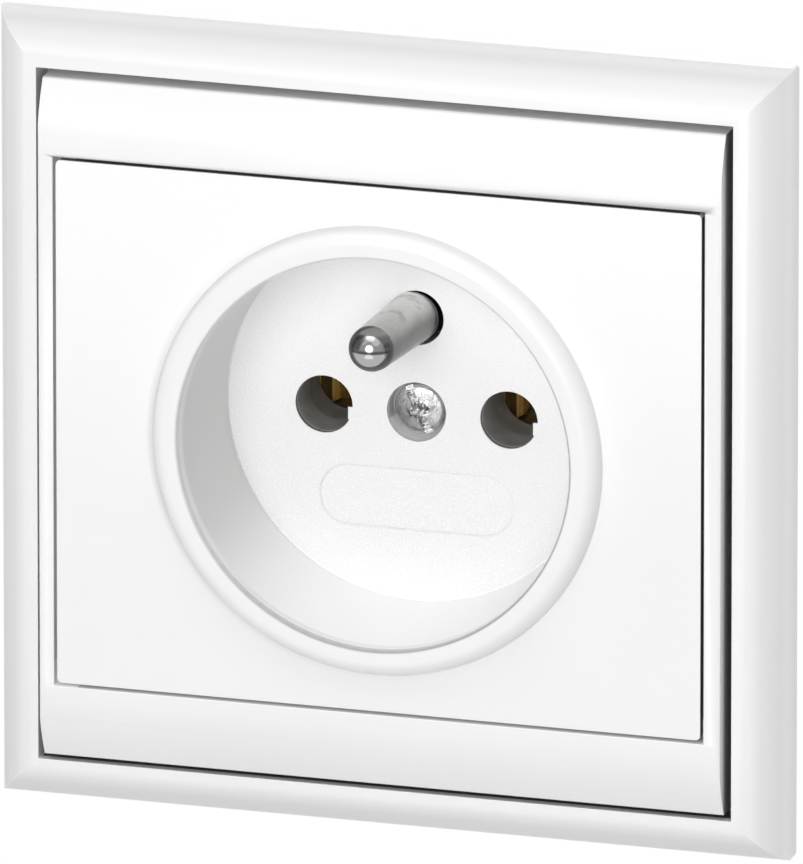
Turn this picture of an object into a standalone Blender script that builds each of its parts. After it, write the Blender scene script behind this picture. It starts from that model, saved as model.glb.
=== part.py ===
"""Flush wall socket with two contacts and an earth pin: a square mitred frame, a humped middle frame,
a centre plate with a round plug well, and the mechanism that hangs behind them on a steel bridge.

Everything is drawn with x to the right, y up and z forward out of the wall, and the wall_plane empty
turns that drawing so that it faces -Y and stands along +Z. The wall's surface is at z = 0.
"""

import math

import bmesh
import bpy
from mathutils import Matrix, Vector

MM = 0.001
SEAT = 0.3 * MM  # air between pieces that seat on each other
STEP = 0.1 * MM  # depth by which a cutter passes the face that it opens

# Outer frame
FRAME_FACE = 4.3 * MM  # from the lip out to the frame's side
FRAME_HEIGHT = 6.1 * MM
FRAME_WALL_HEIGHT = 1.4 * MM
FRAME_CORNER_RADIUS = 0.4 * MM
LIP_WIDTH = 0.65 * MM
LIP_CREASE = 15.0  # degrees by which the face falls away at the lip
FRAME_SKIN = 1.5 * MM
FRAME_HOLLOW = 2.6 * MM
SHELF_THICKNESS = 0.8 * MM
SHELF_WIDTH = 4.2 * MM

# Middle frame
MIDDLE_PLAY = 0.7 * MM
MIDDLE_DROP = 0.2 * MM  # it hangs this much below the centre, in its play
END_BAND = 7.7 * MM  # above and below its window
EDGE_FALL = 2.0 * MM  # how far its top and bottom edges lie behind its crest
SIDE_ROUNDING = 0.45 * MM
END_ROUNDING = 0.2 * MM
MIDDLE_SKIN = 1.6 * MM
MIDDLE_WALL = 1.3 * MM
LEDGE_WIDTH = 1.4 * MM
POCKET_COUNT = 7
POCKET_RIB = 1.0 * MM
HOOK_OFFSET = 16.0 * MM
HOOK_WIDTH = 6.0 * MM
HOOK_LEG = 1.4 * MM
HOOK_REACH = 1.1 * MM
HOOK_DEPTH = 0.9 * MM
HOOK_PLAY = 0.4 * MM

# Centre plate and its plug well
PLATE_MARGIN = 3.9 * MM  # above and below the ring
PLATE_WING = 10.0 * MM  # at each side of the ring
PLATE_LEVEL = 8.1 * MM
PLATE_THICKNESS = 2.0 * MM
PLATE_CORNER_RADIUS = 0.5 * MM
PLATE_EDGE_ROUNDING = 0.35 * MM
RING_LEVEL = 10.0 * MM
RING_WIDTH = 2.9 * MM
RING_TOP_WIDTH = 1.3 * MM
MOUTH_RADIUS = 20.1 * MM
RIM_ROUNDING = 0.2 * MM
WELL_DEPTH = 15.2 * MM
WELL_TAPER = 0.65 * MM
WELL_WALL = 1.6 * MM
WELL_FLOOR = 1.8 * MM
PLATE_RIB_WIDTH = 1.2 * MM
PLATE_RIB_HEIGHT = 1.5 * MM
PLATE_RIB_END = 0.6 * MM
FIELD_LENGTH = 19.8 * MM
FIELD_TALL = 6.1 * MM
FIELD_DROP = 9.1 * MM
FIELD_DEPTH = 0.15 * MM

# Pin holes, contacts and the earth pin
PIN_SPACING = 19.0 * MM
PIN_HOLE_RADIUS = 2.95 * MM
PIN_HOLE_LIP = 0.5 * MM
KEY_TAB_REACH = 0.5 * MM
KEY_TAB_TALL = 1.3 * MM
KEY_TAB_DROP = 0.75 * MM
KEY_TAB_THICKNESS = 0.35 * MM
SLEEVE_WALL = 1.0 * MM
SLEEVE_DEPTH = 4.8 * MM  # from the well's floor to the step in the sleeve's bore
SLEEVE_LENGTH = 9.3 * MM
SLEEVE_STEP = 0.35 * MM
EARTH_HEIGHT = 9.7 * MM
EARTH_PIN_RADIUS = 2.4 * MM
EARTH_PIN_REACH = 14.2 * MM
EARTH_PIN_LEAN = 3.5  # degrees to the left, as it is riveted
EARTH_HOLE_RADIUS = 2.8 * MM
EARTH_NECK_RADIUS = 1.7 * MM
EARTH_TAIL_RADIUS = 2.7 * MM
EARTH_TAIL_HEIGHT = 1.0 * MM

# Centre screw
SCREW_RADIUS = 1.45 * MM
SCREW_HEAD_RADIUS = 2.6 * MM
SCREW_RECESS_RADIUS = 3.05 * MM
SCREW_RECESS_DEPTH = 2.3 * MM
SCREW_HEAD_WALL = 1.0 * MM
SCREW_DOME = 0.6 * MM
SCREW_REACH = 8.4 * MM
SLOT_WIDTH = 0.9 * MM
SLOT_DEPTH = 0.8 * MM
SLOT_ANGLE = -65.0
CROSS_RADIUS = 1.6 * MM
CROSS_DEPTH = 1.2 * MM
BOSS_RADIUS = 4.7 * MM
BOSS_HEIGHT = 1.9 * MM
INSERT_RADIUS = 2.4 * MM
INSERT_LENGTH = 6.0 * MM
INSERT_GROOVE = 0.35 * MM

# Contact cover and base
COVER_THICKNESS = 1.6 * MM
BASE_MARGIN = 0.5 * MM  # past the well's wall at each side
BASE_WALL = 1.4 * MM
BASE_CORNER_RADIUS = 8.0 * MM
BASE_FLOOR = 2.0 * MM
CHAMBER_SPARE = 1.7 * MM  # behind the contacts
CHAMBER_WALL = 4.2 * MM  # between the contacts and the terminals
BASE_EDGE_ROUNDING = 0.8 * MM
CHAMBER_TALL = 10.0 * MM
TERMINAL_WALL = 1.5 * MM  # between neighbouring terminals
TERMINAL_TALL = 9.4 * MM
TERMINAL_DEPTH = 13.0 * MM
ACCESS_RADIUS = 3.2 * MM
WIRE_HOLE_RADIUS = 1.6 * MM
WIRE_SPACING = 4.4 * MM
EAR_THICKNESS = 4.6 * MM

# Contacts, terminals and the earth strap
CONTACT_SHEET = 0.6 * MM
CONTACT_TALL = 6.5 * MM
CONTACT_MOUTH = 2.9 * MM
CONTACT_PINCH = 2.05 * MM
CONTACT_FOOT = 2.7 * MM
CONTACT_PINCH_DEPTH = 2.4 * MM
CONTACT_DEPTH = 10.4 * MM
TAIL_SHEET = 0.8 * MM
TAIL_TALL = 5.0 * MM
TAB_LENGTH = 7.0 * MM
TAB_DROP = 7.1 * MM  # from the front of the base to the contacts' tabs
CLIP_SHEET = 0.5 * MM
CLIP_LENGTH = 2.2 * MM
CLIP_GAP = 2.4 * MM
CLAMP_PLAY = 1.0 * MM  # round each clamp in its room
CLAMP_THICKNESS = 1.0 * MM
WIRE_SPACE = 2.4 * MM
TERMINAL_SCREW_RADIUS = 1.5 * MM
TERMINAL_SCREW_REACH = 7.0 * MM
TERMINAL_HEAD_RADIUS = 2.7 * MM
TERMINAL_HEAD_HEIGHT = 1.8 * MM
STRAP_PLAY = 0.4 * MM
STRAP_END = 3.8 * MM
BEND_RADIUS = 0.9 * MM

# Mounting bridge and its rivets
BRIDGE_MARGIN = 3.55 * MM  # inside the outer frame's wall
BRIDGE_SHEET = 1.0 * MM
BRIDGE_CORNER = 9.0 * MM
BRIDGE_CLEARANCE = 1.1 * MM  # round the well, as far as its mouth is wide
SLOT_MARGIN = 5.5 * MM  # from the fixing slots to the bridge's edge
FIXING_SLOT_WIDTH = 4.6 * MM
FIXING_SLOT_LENGTH = 9.0 * MM
HEAD_ROOM_WIDTH = 8.2 * MM  # for the fixing screws' heads
HEAD_ROOM_HEIGHT = 2.7 * MM
LEG_CLEARANCE = 0.8 * MM
LEG_WIDTH = 12.0 * MM
LEG_RELIEF = 0.8 * MM
FOOT_REACH = 4.4 * MM
RIVET_RADIUS = 1.4 * MM
RIVET_HEAD_RADIUS = 2.0 * MM
RIVET_HEAD_HEIGHT = 1.1 * MM

WELL_SEGMENTS = 72
HOLE_SEGMENTS = 40
SCREW_SEGMENTS = 24

# Levels that follow from the sizes above, forward of the wall
RING_RADIUS = MOUTH_RADIUS + RING_WIDTH
PLATE_WIDTH = 2 * (RING_RADIUS + PLATE_WING)
PLATE_TALL = 2 * (RING_RADIUS + PLATE_MARGIN)
WINDOW_WIDTH = PLATE_WIDTH + 2 * SEAT
WINDOW_TALL = PLATE_TALL + 2 * SEAT
MIDDLE_SIDE = WINDOW_TALL + 2 * END_BAND
LIP_SIDE = MIDDLE_SIDE + 2 * MIDDLE_PLAY
LIP_OUTER = LIP_SIDE / 2 + LIP_WIDTH
FRAME_SIDE = 2 * (LIP_OUTER + FRAME_FACE)
SHELF_SIDE = LIP_SIDE - 2 * SHELF_WIDTH
SHELF_BACK = BRIDGE_SHEET + SEAT
SHELF_LEVEL = SHELF_BACK + SHELF_THICKNESS
WELL_FLOOR_RADIUS = MOUTH_RADIUS - WELL_TAPER
WELL_REACH = MOUTH_RADIUS + WELL_WALL
FLOOR_LEVEL = RING_LEVEL - WELL_DEPTH
FLOOR_BACK = FLOOR_LEVEL - WELL_FLOOR
COVER_LEVEL = FLOOR_BACK - SEAT
COVER_BACK = COVER_LEVEL - COVER_THICKNESS
BASE_LEVEL = COVER_BACK - SEAT
TAB_LEVEL = BASE_LEVEL - TAB_DROP
SLEEVE_BACK = FLOOR_LEVEL - SLEEVE_LENGTH
CONTACT_FRONT = SLEEVE_BACK - 2 * SEAT
CONTACT_BACK = CONTACT_FRONT - CONTACT_DEPTH
CHAMBER_WIDTH = 2 * (CONTACT_MOUTH + CONTACT_SHEET + CLIP_SHEET + 2 * SEAT)
TERMINAL_WIDTH = PIN_SPACING / 2 - TERMINAL_WALL
CLAMP_SIDE = TERMINAL_WIDTH - 2 * CLAMP_PLAY
STRAP_WIDTH = TERMINAL_WIDTH - 2 * STRAP_PLAY
BASE_BACK = CONTACT_BACK - CHAMBER_SPARE - BASE_FLOOR
BASE_WIDTH = 2 * (WELL_REACH + BASE_MARGIN)
TERMINAL_DROP = (CHAMBER_TALL + TERMINAL_TALL) / 2 + CHAMBER_WALL
BASE_TALL = 2 * (TERMINAL_DROP + TERMINAL_TALL / 2 + BASE_WALL)
STRAP_LEVEL = BASE_LEVEL
STRAP_BACK = STRAP_LEVEL - TAIL_SHEET
CLAMP_BACK = TAB_LEVEL + WIRE_SPACE
CLAMP_LEVEL = CLAMP_BACK + CLAMP_THICKNESS
EAR_LEVEL = BASE_LEVEL - 2 * MM
FOOT_BACK = EAR_LEVEL + SEAT
LEDGE_LEVEL = PLATE_LEVEL - PLATE_THICKNESS - SEAT
RIM_LEVEL = SHELF_LEVEL + SEAT
HEAD_ROOM_LEVEL = BRIDGE_SHEET + HEAD_ROOM_HEIGHT
HOOK_SIDE = SHELF_SIDE / 2 - SEAT - MIDDLE_DROP
BRIDGE_SIDE = FRAME_SIDE - 2 * (FRAME_SKIN + BRIDGE_MARGIN)
BRIDGE_WINDOW_RADIUS = WELL_REACH + BRIDGE_CLEARANCE
SLOT_SPACING = BRIDGE_SIDE - 2 * SLOT_MARGIN
LEG_OFFSET = BASE_WIDTH / 2 + LEG_CLEARANCE + BRIDGE_SHEET / 2
NOTCH = LEG_OFFSET + BEND_RADIUS + STEP
SLEEVE_RADIUS = PIN_HOLE_RADIUS + SLEEVE_WALL
CLEAR_RADIUS = TERMINAL_SCREW_RADIUS + SEAT

SIDES = {"line": -1, "neutral": 1}


def clear_scene():
    for obj in list(bpy.data.objects):
        bpy.data.objects.remove(obj, do_unlink=True)


def new_collection(name):
    group = bpy.data.collections.new(name)
    bpy.context.scene.collection.children.link(group)
    return group


def wall_plane():
    """The empty that turns the drawing to stand on the wall and face -Y."""
    empty = bpy.data.objects.new("wall_plane", None)
    empty.rotation_euler = (math.radians(90), 0, 0)
    parts.objects.link(empty)
    return empty


# Materials


def principled(name, colour, roughness, metallic=0.0):
    material = bpy.data.materials.new(name)
    material.use_nodes = True
    shader = material.node_tree.nodes["Principled BSDF"]
    shader.inputs["Base Color"].default_value = (*colour, 1)
    shader.inputs["Roughness"].default_value = roughness
    shader.inputs["Metallic"].default_value = metallic
    material.diffuse_color = (*colour, 1)
    return material


def white_plastic(name):
    return principled(name, (0.87, 0.87, 0.86), 0.35)


def graphite_plastic(name):
    return principled(name, (0.06, 0.06, 0.065), 0.5)


def cream_plastic(name):
    return principled(name, (0.78, 0.76, 0.70), 0.45)


def zinc_steel(name):
    return principled(name, (0.66, 0.67, 0.68), 0.3, 1.0)


def spring_steel(name):
    return principled(name, (0.42, 0.42, 0.44), 0.35, 1.0)


def nickel(name):
    return principled(name, (0.60, 0.59, 0.57), 0.25, 1.0)


def brass(name):
    return principled(name, (0.72, 0.50, 0.20), 0.35, 1.0)


# Outlines


def arc(centre, radius, start, end, count, squash=1.0):
    """Points on an arc from start to end degrees; squash scales it along the second axis."""
    found = []
    for i in range(count + 1):
        angle = math.radians(start + (end - start) * i / count)
        x = centre[0] + radius * math.cos(angle)
        found.append((x, centre[1] + squash * radius * math.sin(angle)))
    return found


def circle(radius, centre=(0, 0), count=HOLE_SEGMENTS):
    return arc(centre, radius, 0, 360 * (count - 1) / count, count - 1)


def rounded_rectangle(width, tall, radius, centre=(0, 0), count=4):
    found = []
    for i, (right, up) in enumerate(((1, 1), (-1, 1), (-1, -1), (1, -1))):
        corner = (
            centre[0] + right * (width / 2 - radius),
            centre[1] + up * (tall / 2 - radius),
        )
        found += arc(corner, radius, 90 * i, 90 * i + 90, count)
    return found


def rectangle(width, tall, centre=(0, 0)):
    x, y = width / 2, tall / 2
    return [(centre[0] + i * x, centre[1] + j * y) for i, j in ((-1, -1), (1, -1), (1, 1), (-1, 1))]


def stadium(length, width, centre=(0, 0), upright=False, count=10):
    """A slot's outline, with round ends."""
    reach = (length - width) / 2
    ends = arc((reach, 0), width / 2, -90, 90, count) + arc((-reach, 0), width / 2, 90, 270, count)
    return [(centre[0] + (y if upright else x), centre[1] + (x if upright else y)) for x, y in ends]


def filleted(points, radius, count=4):
    """An open line with its inner corners rounded to the radius."""
    found = [points[0]]
    for before, corner, after in zip(points, points[1:], points[2:]):
        corner, back, ahead = Vector(corner), Vector(before), Vector(after)
        back, ahead = (back - corner).normalized(), (ahead - corner).normalized()
        half = back.angle(ahead) / 2
        middle = corner + (back + ahead).normalized() * (radius / math.sin(half))
        start = corner + back * (radius / math.tan(half)) - middle
        end = corner + ahead * (radius / math.tan(half)) - middle
        for i in range(count + 1):
            spoke = start.lerp(end, i / count).normalized() * radius
            found.append(tuple(middle + spoke))
    return found + [points[-1]]


# Solids


def new_object(name, data, group=None):
    obj = bpy.data.objects.new(name, data)
    (group or parts).objects.link(obj)
    obj.parent = wall
    return obj


def from_bmesh(name, shape, group=None):
    mesh = bpy.data.meshes.new(name)
    shape.to_mesh(mesh)
    shape.free()
    return new_object(name, mesh, group)


UPRIGHT = Matrix.Identity(4)
ALONG_X = Matrix(((0, 0, 1, 0), (1, 0, 0, 0), (0, 1, 0, 0), (0, 0, 0, 1)))  # outline in y and z
ALONG_Y = Matrix(((1, 0, 0, 0), (0, 0, -1, 0), (0, 1, 0, 0), (0, 0, 0, 1)))  # outline in x and z


def filled(name, loops, thickness, placement, group):
    """A flat outline, with its holes, as a filled curve of this thickness, made a mesh."""
    curve = bpy.data.curves.new(name, "CURVE")
    curve.dimensions = "2D"
    curve.fill_mode = "BOTH"
    curve.extrude = thickness / 2
    for points in loops:
        spline = curve.splines.new("POLY")
        spline.points.add(len(points) - 1)
        for point, (x, y) in zip(spline.points, points):
            point.co = (x, y, 0, 1)
        spline.use_cyclic_u = True
    guide = bpy.data.objects.new(name, curve)
    bpy.context.scene.collection.objects.link(guide)
    mesh = bpy.data.meshes.new_from_object(guide.evaluated_get(bpy.context.evaluated_depsgraph_get()))
    bpy.data.objects.remove(guide)
    shape = bmesh.new()
    shape.from_mesh(mesh)
    bpy.data.meshes.remove(mesh)
    bmesh.ops.remove_doubles(shape, verts=shape.verts, dist=1e-7)
    solid = from_bmesh(name, shape, group)
    solid.matrix_local = placement
    return solid


def prism(name, loops, low, high, group=None, lie=UPRIGHT):
    """Outlines extruded between two levels of the axis that they are drawn across."""
    placement = lie @ Matrix.Translation((0, 0, (low + high) / 2))
    return filled(name, loops, high - low, placement, group)


def turned(name, profile, sides, group=None, closed=False):
    """A profile of (radius, level) turned about z; its outer side runs from top to bottom."""
    shape = bmesh.new()
    points = [shape.verts.new((radius, 0, level)) for radius, level in profile]
    for start, end in zip(points, points[1:] + points[:1] if closed else points[1:]):
        shape.edges.new((start, end))
    obj = from_bmesh(name, shape, group)
    screw = obj.modifiers.new("turn", "SCREW")
    screw.axis = "Z"
    screw.angle = math.tau
    screw.steps = screw.render_steps = sides
    screw.use_merge_vertices = True
    screw.merge_threshold = 1e-6
    screw.use_smooth_shade = sides > 4
    return obj


def boxes(name, extents, group=None):
    """Boxes, each from a low to a high corner, in one object."""
    shape = bmesh.new()
    for low, high in extents:
        low, high = Vector(low), Vector(high)
        place = Matrix.Translation((low + high) / 2) @ Matrix.Diagonal((*(high - low), 1))
        bmesh.ops.create_cube(shape, size=1, matrix=place)
    return from_bmesh(name, shape, group)


def rods(name, places, radius, low, high, group=None, sides=HOLE_SEGMENTS):
    """Round rods along z at these places, in one object."""
    shape = bmesh.new()
    for x, y in places:
        bmesh.ops.create_cone(
            shape,
            cap_ends=True,
            segments=sides,
            radius1=radius,
            radius2=radius,
            depth=high - low,
            matrix=Matrix.Translation((x, y, (low + high) / 2)),
        )
    return from_bmesh(name, shape, group)


def ribbon(name, path, width, sheet, placement, group=None):
    """A bent strip: an open line drawn across the strip, given its width and then its thickness."""
    shape = bmesh.new()
    line = [shape.verts.new((x, y, -width / 2)) for x, y in path]
    edges = [shape.edges.new(pair) for pair in zip(line, line[1:])]
    grown = bmesh.ops.extrude_edge_only(shape, edges=edges)["geom"]
    moved = [item for item in grown if isinstance(item, bmesh.types.BMVert)]
    bmesh.ops.translate(shape, verts=moved, vec=(0, 0, width))
    strip = from_bmesh(name, shape, group)
    strip.matrix_local = placement
    thicken(strip, sheet)
    return strip


def thicken(obj, sheet):
    solidify = obj.modifiers.new("sheet", "SOLIDIFY")
    solidify.thickness = sheet
    solidify.offset = 0
    solidify.use_even_offset = True


def bevel(obj, width, segments=3):
    rounding = obj.modifiers.new("rounding", "BEVEL")
    rounding.width = width
    rounding.segments = segments
    rounding.limit_method = "ANGLE"
    rounding.angle_limit = math.radians(40)


def boolean(obj, other, operation):
    """Adds a Boolean and puts the other solid with the cutters."""
    modifier = obj.modifiers.new(other.name, "BOOLEAN")
    modifier.operation = operation
    modifier.solver = "EXACT"
    modifier.object = other
    other.hide_render = True
    other.display_type = "WIRE"


def cut(obj, *others):
    for other in others:
        boolean(obj, other, "DIFFERENCE")


def join(obj, *others):
    for other in others:
        boolean(obj, other, "UNION")


# Frames


def outer_frame():
    """A mitred ring: a profile turned in four steps, with its places on the diagonal."""
    half, face = FRAME_SIDE / 2, FRAME_SIDE / 2 - LIP_OUTER
    rise = FRAME_HEIGHT - FRAME_WALL_HEIGHT
    fall = math.degrees(math.atan2(rise, face)) - LIP_CREASE
    radius = math.hypot(face, rise) / 2 / math.sin(math.radians(fall))
    start = math.radians(LIP_CREASE)
    centre = (LIP_OUTER - radius * math.sin(start), FRAME_HEIGHT - radius * math.cos(start))
    inner, outer = LIP_SIDE / 2 + FRAME_SKIN, half - FRAME_SKIN
    profile = [(LIP_SIDE / 2, FRAME_HEIGHT)]
    profile += arc(centre, radius, 90 - LIP_CREASE, 90 - LIP_CREASE - 2 * fall, 12)
    profile += [(half, 0), (outer, 0), (outer, FRAME_HOLLOW), (inner, FRAME_HOLLOW), (inner, SHELF_BACK)]
    profile += [(SHELF_SIDE / 2, SHELF_BACK), (SHELF_SIDE / 2, SHELF_LEVEL)]
    profile += [(LIP_SIDE / 2, SHELF_LEVEL)]
    ring = turned("outer_frame", [(x * math.sqrt(2), z) for x, z in profile], 4, closed=True)
    ring.rotation_euler = (0, 0, math.radians(45))
    outline = rounded_rectangle(FRAME_SIDE, FRAME_SIDE, FRAME_CORNER_RADIUS, count=5)
    trim = prism("frame_corners", [outline], -STEP, FRAME_HEIGHT + STEP, cutters)
    boolean(ring, trim, "INTERSECT")
    cut(ring, head_rooms("shelf_notches", SHELF_BACK, SHELF_LEVEL))
    ring.data.materials.append(white_plastic("outer_frame"))


def head_rooms(name, low, high):
    """Room for the heads of the four screws that hold the bridge."""
    reach, half = SLOT_SPACING / 2, HEAD_ROOM_WIDTH / 2
    extents = []
    for x, y in ((-reach, 0), (reach, 0), (0, -reach), (0, reach)):
        extents.append(((x - half, y - half, low - STEP), (x + half, y + half, high + STEP)))
    return boxes(name, extents, cutters)


def hump():
    """The middle frame seen from the side: a flat crest that falls in an arc to each end."""
    half, crest = MIDDLE_SIDE / 2, WINDOW_TALL / 2
    run = half - crest
    radius = (run**2 + EDGE_FALL**2) / (2 * EDGE_FALL)
    sweep = math.degrees(math.asin(run / radius))
    top = arc((crest, PLATE_LEVEL - radius), radius, 90, 90 - sweep, 8)
    line = [(half, RIM_LEVEL)] + top[::-1] + [(-y, z) for y, z in top] + [(-half, RIM_LEVEL)]
    rounded = filleted(line[:3], END_ROUNDING)[:-1] + line[2:-2]
    return rounded + filleted(line[-3:], END_ROUNDING)[1:]


def middle_frame():
    """Two outlines, one seen from the side and one from above, cross to give the humped body."""
    half = MIDDLE_SIDE / 2
    body = prism("middle_frame", [hump()], -half, half, lie=ALONG_X)
    shoulders = [(-half, RIM_LEVEL - STEP)]
    shoulders += arc((half - SIDE_ROUNDING, PLATE_LEVEL - SIDE_ROUNDING), SIDE_ROUNDING, 90, 0, 6)
    left = [(-x, z) for x, z in shoulders[1:]][::-1]
    outline = [shoulders[0]] + left + shoulders[1:] + [(half, RIM_LEVEL - STEP)]
    reach = half + STEP
    boolean(body, prism("middle_shoulders", [outline], -reach, reach, cutters, ALONG_Y), "INTERSECT")
    body.location.y = -MIDDLE_DROP
    window = rectangle(WINDOW_WIDTH, WINDOW_TALL)
    inner = rectangle(WINDOW_WIDTH - 2 * LEDGE_WIDTH, WINDOW_TALL - 2 * LEDGE_WIDTH)
    cut(body, prism("window", [window], LEDGE_LEVEL, PLATE_LEVEL + STEP, cutters))
    cut(body, prism("window_ledge", [inner], RIM_LEVEL - STEP, PLATE_LEVEL, cutters))
    cut(body, middle_pockets(), head_rooms("ledge_notches", RIM_LEVEL, HEAD_ROOM_LEVEL))
    join(body, middle_hooks())
    body.data.materials.append(white_plastic("middle_frame"))


def middle_pockets():
    """Hollows behind the top and bottom bands, with ribs between them."""
    inner = WINDOW_TALL / 2 + MIDDLE_WALL
    outer = MIDDLE_SIDE / 2 - MIDDLE_WALL - MIDDLE_DROP
    reach = MIDDLE_SIDE / 2 - MIDDLE_WALL
    roof = PLATE_LEVEL - EDGE_FALL - MIDDLE_SKIN
    pitch = (2 * reach + POCKET_RIB) / POCKET_COUNT
    extents = []
    for i in range(POCKET_COUNT):
        a = -reach + i * pitch
        b = a + pitch - POCKET_RIB
        for low, high in ((inner, outer), (-outer, -inner)):
            extents.append(((a, low, RIM_LEVEL - STEP), (b, high, roof)))
    return boxes("middle_pockets", extents, cutters)


def middle_hooks():
    """Four legs that reach through the outer frame and hook under its shelf."""
    inner, reach = HOOK_SIDE - HOOK_LEG, HOOK_SIDE + HOOK_REACH
    top = PLATE_LEVEL - EDGE_FALL - MIDDLE_SKIN / 2
    catch = SHELF_BACK - SEAT
    tip = catch - HOOK_DEPTH
    line = [(inner, top), (inner, tip), (HOOK_SIDE, tip), (reach, catch), (HOOK_SIDE, catch), (HOOK_SIDE, top)]
    shape = bmesh.new()
    for side in (-1, 1):
        for along in (-HOOK_OFFSET, HOOK_OFFSET):
            ring = [shape.verts.new((along - HOOK_WIDTH / 2, side * y, z)) for y, z in line]
            face = shape.faces.new(ring)
            moved = bmesh.ops.extrude_face_region(shape, geom=[face])["geom"]
            moved = [item for item in moved if isinstance(item, bmesh.types.BMVert)]
            bmesh.ops.translate(shape, verts=moved, vec=(HOOK_WIDTH, 0, 0))
    bmesh.ops.recalc_face_normals(shape, faces=shape.faces)
    return from_bmesh("middle_hooks", shape, cutters)


# Centre plate


def well_profile():
    """From the floor's middle up the well's wall, over the ring and down behind."""
    foot = RING_RADIUS
    crest = MOUTH_RADIUS + RING_TOP_WIDTH
    fall = RING_LEVEL - PLATE_LEVEL
    rim = (MOUTH_RADIUS + RIM_ROUNDING, RING_LEVEL - RIM_ROUNDING)
    line = [(0, FLOOR_LEVEL), (WELL_FLOOR_RADIUS, FLOOR_LEVEL)]
    line += arc(rim, RIM_ROUNDING, 180, 90, 3)
    line += arc((crest, PLATE_LEVEL), foot - crest, 90, 0, 10, squash=fall / (foot - crest))
    line += [(foot, PLATE_LEVEL - PLATE_THICKNESS / 2)]
    line += [(WELL_REACH, PLATE_LEVEL - PLATE_THICKNESS - (foot - WELL_REACH))]
    outer = WELL_FLOOR_RADIUS + WELL_WALL
    line += arc((outer - WELL_FLOOR / 2, FLOOR_BACK + WELL_FLOOR / 2), WELL_FLOOR / 2, 0, -90, 4)
    return line + [(0, FLOOR_BACK)]


def centre_plate():
    outline = rounded_rectangle(PLATE_WIDTH, PLATE_TALL, PLATE_CORNER_RADIUS)
    plate = prism("centre_plate", [outline], PLATE_LEVEL - PLATE_THICKNESS, PLATE_LEVEL)
    bevel(plate, PLATE_EDGE_ROUNDING)
    bed = RING_RADIUS - PLATE_EDGE_ROUNDING * 2
    cut(plate, rods("well_bed", [(0, 0)], bed, 0, RING_LEVEL, cutters, WELL_SEGMENTS))
    join(plate, turned("plug_well", well_profile(), WELL_SEGMENTS, cutters), plate_ribs())
    end = FLOOR_BACK - BOSS_HEIGHT
    join(plate, rods("screw_boss", [(0, 0)], BOSS_RADIUS, end, FLOOR_LEVEL - STEP, cutters))
    pins = [(side * PIN_SPACING / 2, 0) for side in SIDES.values()]
    behind = FLOOR_BACK - BOSS_HEIGHT - STEP
    front = FLOOR_LEVEL + STEP
    cut(plate, rods("pin_holes", pins, PIN_HOLE_RADIUS, FLOOR_BACK - STEP, front, cutters))
    lip = FLOOR_LEVEL - PIN_HOLE_LIP
    cut(plate, rods("sleeve_beds", pins, SLEEVE_RADIUS + SEAT, FLOOR_BACK - STEP, lip, cutters))
    earth = [(0, EARTH_HEIGHT)]
    cut(plate, rods("earth_hole", earth, EARTH_HOLE_RADIUS, FLOOR_BACK - STEP, front, cutters))
    bore = SCREW_RADIUS + SEAT
    cut(plate, rods("screw_hole", [(0, 0)], bore, behind, FLOOR_LEVEL, cutters, SCREW_SEGMENTS))
    recess = FLOOR_LEVEL - SCREW_RECESS_DEPTH
    cut(plate, rods("screw_recess", [(0, 0)], SCREW_RECESS_RADIUS, recess, front, cutters))
    field = stadium(FIELD_LENGTH, FIELD_TALL, (0, -FIELD_DROP))
    cut(plate, prism("field", [field], FLOOR_LEVEL - FIELD_DEPTH, front, cutters))
    join(plate, key_tabs())
    plate.data.materials.append(white_plastic("centre_plate"))


def plate_ribs():
    """Ribs behind the plate, from the well's wall towards the ledge."""
    inner = MOUTH_RADIUS + WELL_WALL / 2
    right = WINDOW_WIDTH / 2 - LEDGE_WIDTH - PLATE_RIB_END
    up = WINDOW_TALL / 2 - LEDGE_WIDTH - PLATE_RIB_END
    high = PLATE_LEVEL - PLATE_THICKNESS / 2
    low = PLATE_LEVEL - PLATE_THICKNESS - PLATE_RIB_HEIGHT
    half = PLATE_RIB_WIDTH / 2
    extents = []
    for side in (-1, 1):
        a, b = sorted((side * inner, side * right))
        extents.append(((a, -half, low), (b, half, high)))
        a, b = sorted((side * inner, side * up))
        extents.append(((-half, a, low), (half, b, high)))
    return boxes("plate_ribs", extents, cutters)


def key_tabs():
    """The small tab at the right edge of each pin hole."""
    high = FLOOR_LEVEL - (PIN_HOLE_LIP - KEY_TAB_THICKNESS) / 2
    low = high - KEY_TAB_THICKNESS
    extents = []
    for side in SIDES.values():
        edge = side * PIN_SPACING / 2 + PIN_HOLE_RADIUS
        bottom = -KEY_TAB_DROP - KEY_TAB_TALL / 2
        corner = (edge + KEY_TAB_REACH, bottom + KEY_TAB_TALL, high)
        extents.append(((edge - KEY_TAB_REACH, bottom, low), corner))
    return boxes("key_tabs", extents, cutters)


def centre_screw():
    """A pan head screw that pulls the plate to the insert."""
    seat = FLOOR_LEVEL - SCREW_RECESS_DEPTH + SEAT
    rim = seat + SCREW_HEAD_WALL
    radius = (SCREW_HEAD_RADIUS**2 + SCREW_DOME**2) / (2 * SCREW_DOME)
    sweep = math.degrees(math.asin(SCREW_HEAD_RADIUS / radius))
    dome = arc((0, rim + SCREW_DOME - radius), radius, 90, 90 - sweep, 5)
    tip = seat - SCREW_REACH
    line = [(0, dome[0][1])] + dome[1:] + [(SCREW_HEAD_RADIUS, seat), (SCREW_RADIUS, seat)]
    line += [(SCREW_RADIUS, tip + SCREW_RADIUS / 2), (SCREW_RADIUS / 2, tip), (0, tip)]
    screw = turned("centre_screw", line, SCREW_SEGMENTS)
    top = rim + SCREW_DOME
    cut(screw, drive("screw_slot", SCREW_HEAD_RADIUS + STEP, top, SLOT_DEPTH, (0,)))
    cut(screw, drive("screw_cross", CROSS_RADIUS, top, CROSS_DEPTH, (0, 90)))
    screw.data.materials.append(zinc_steel("centre_screw"))


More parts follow.
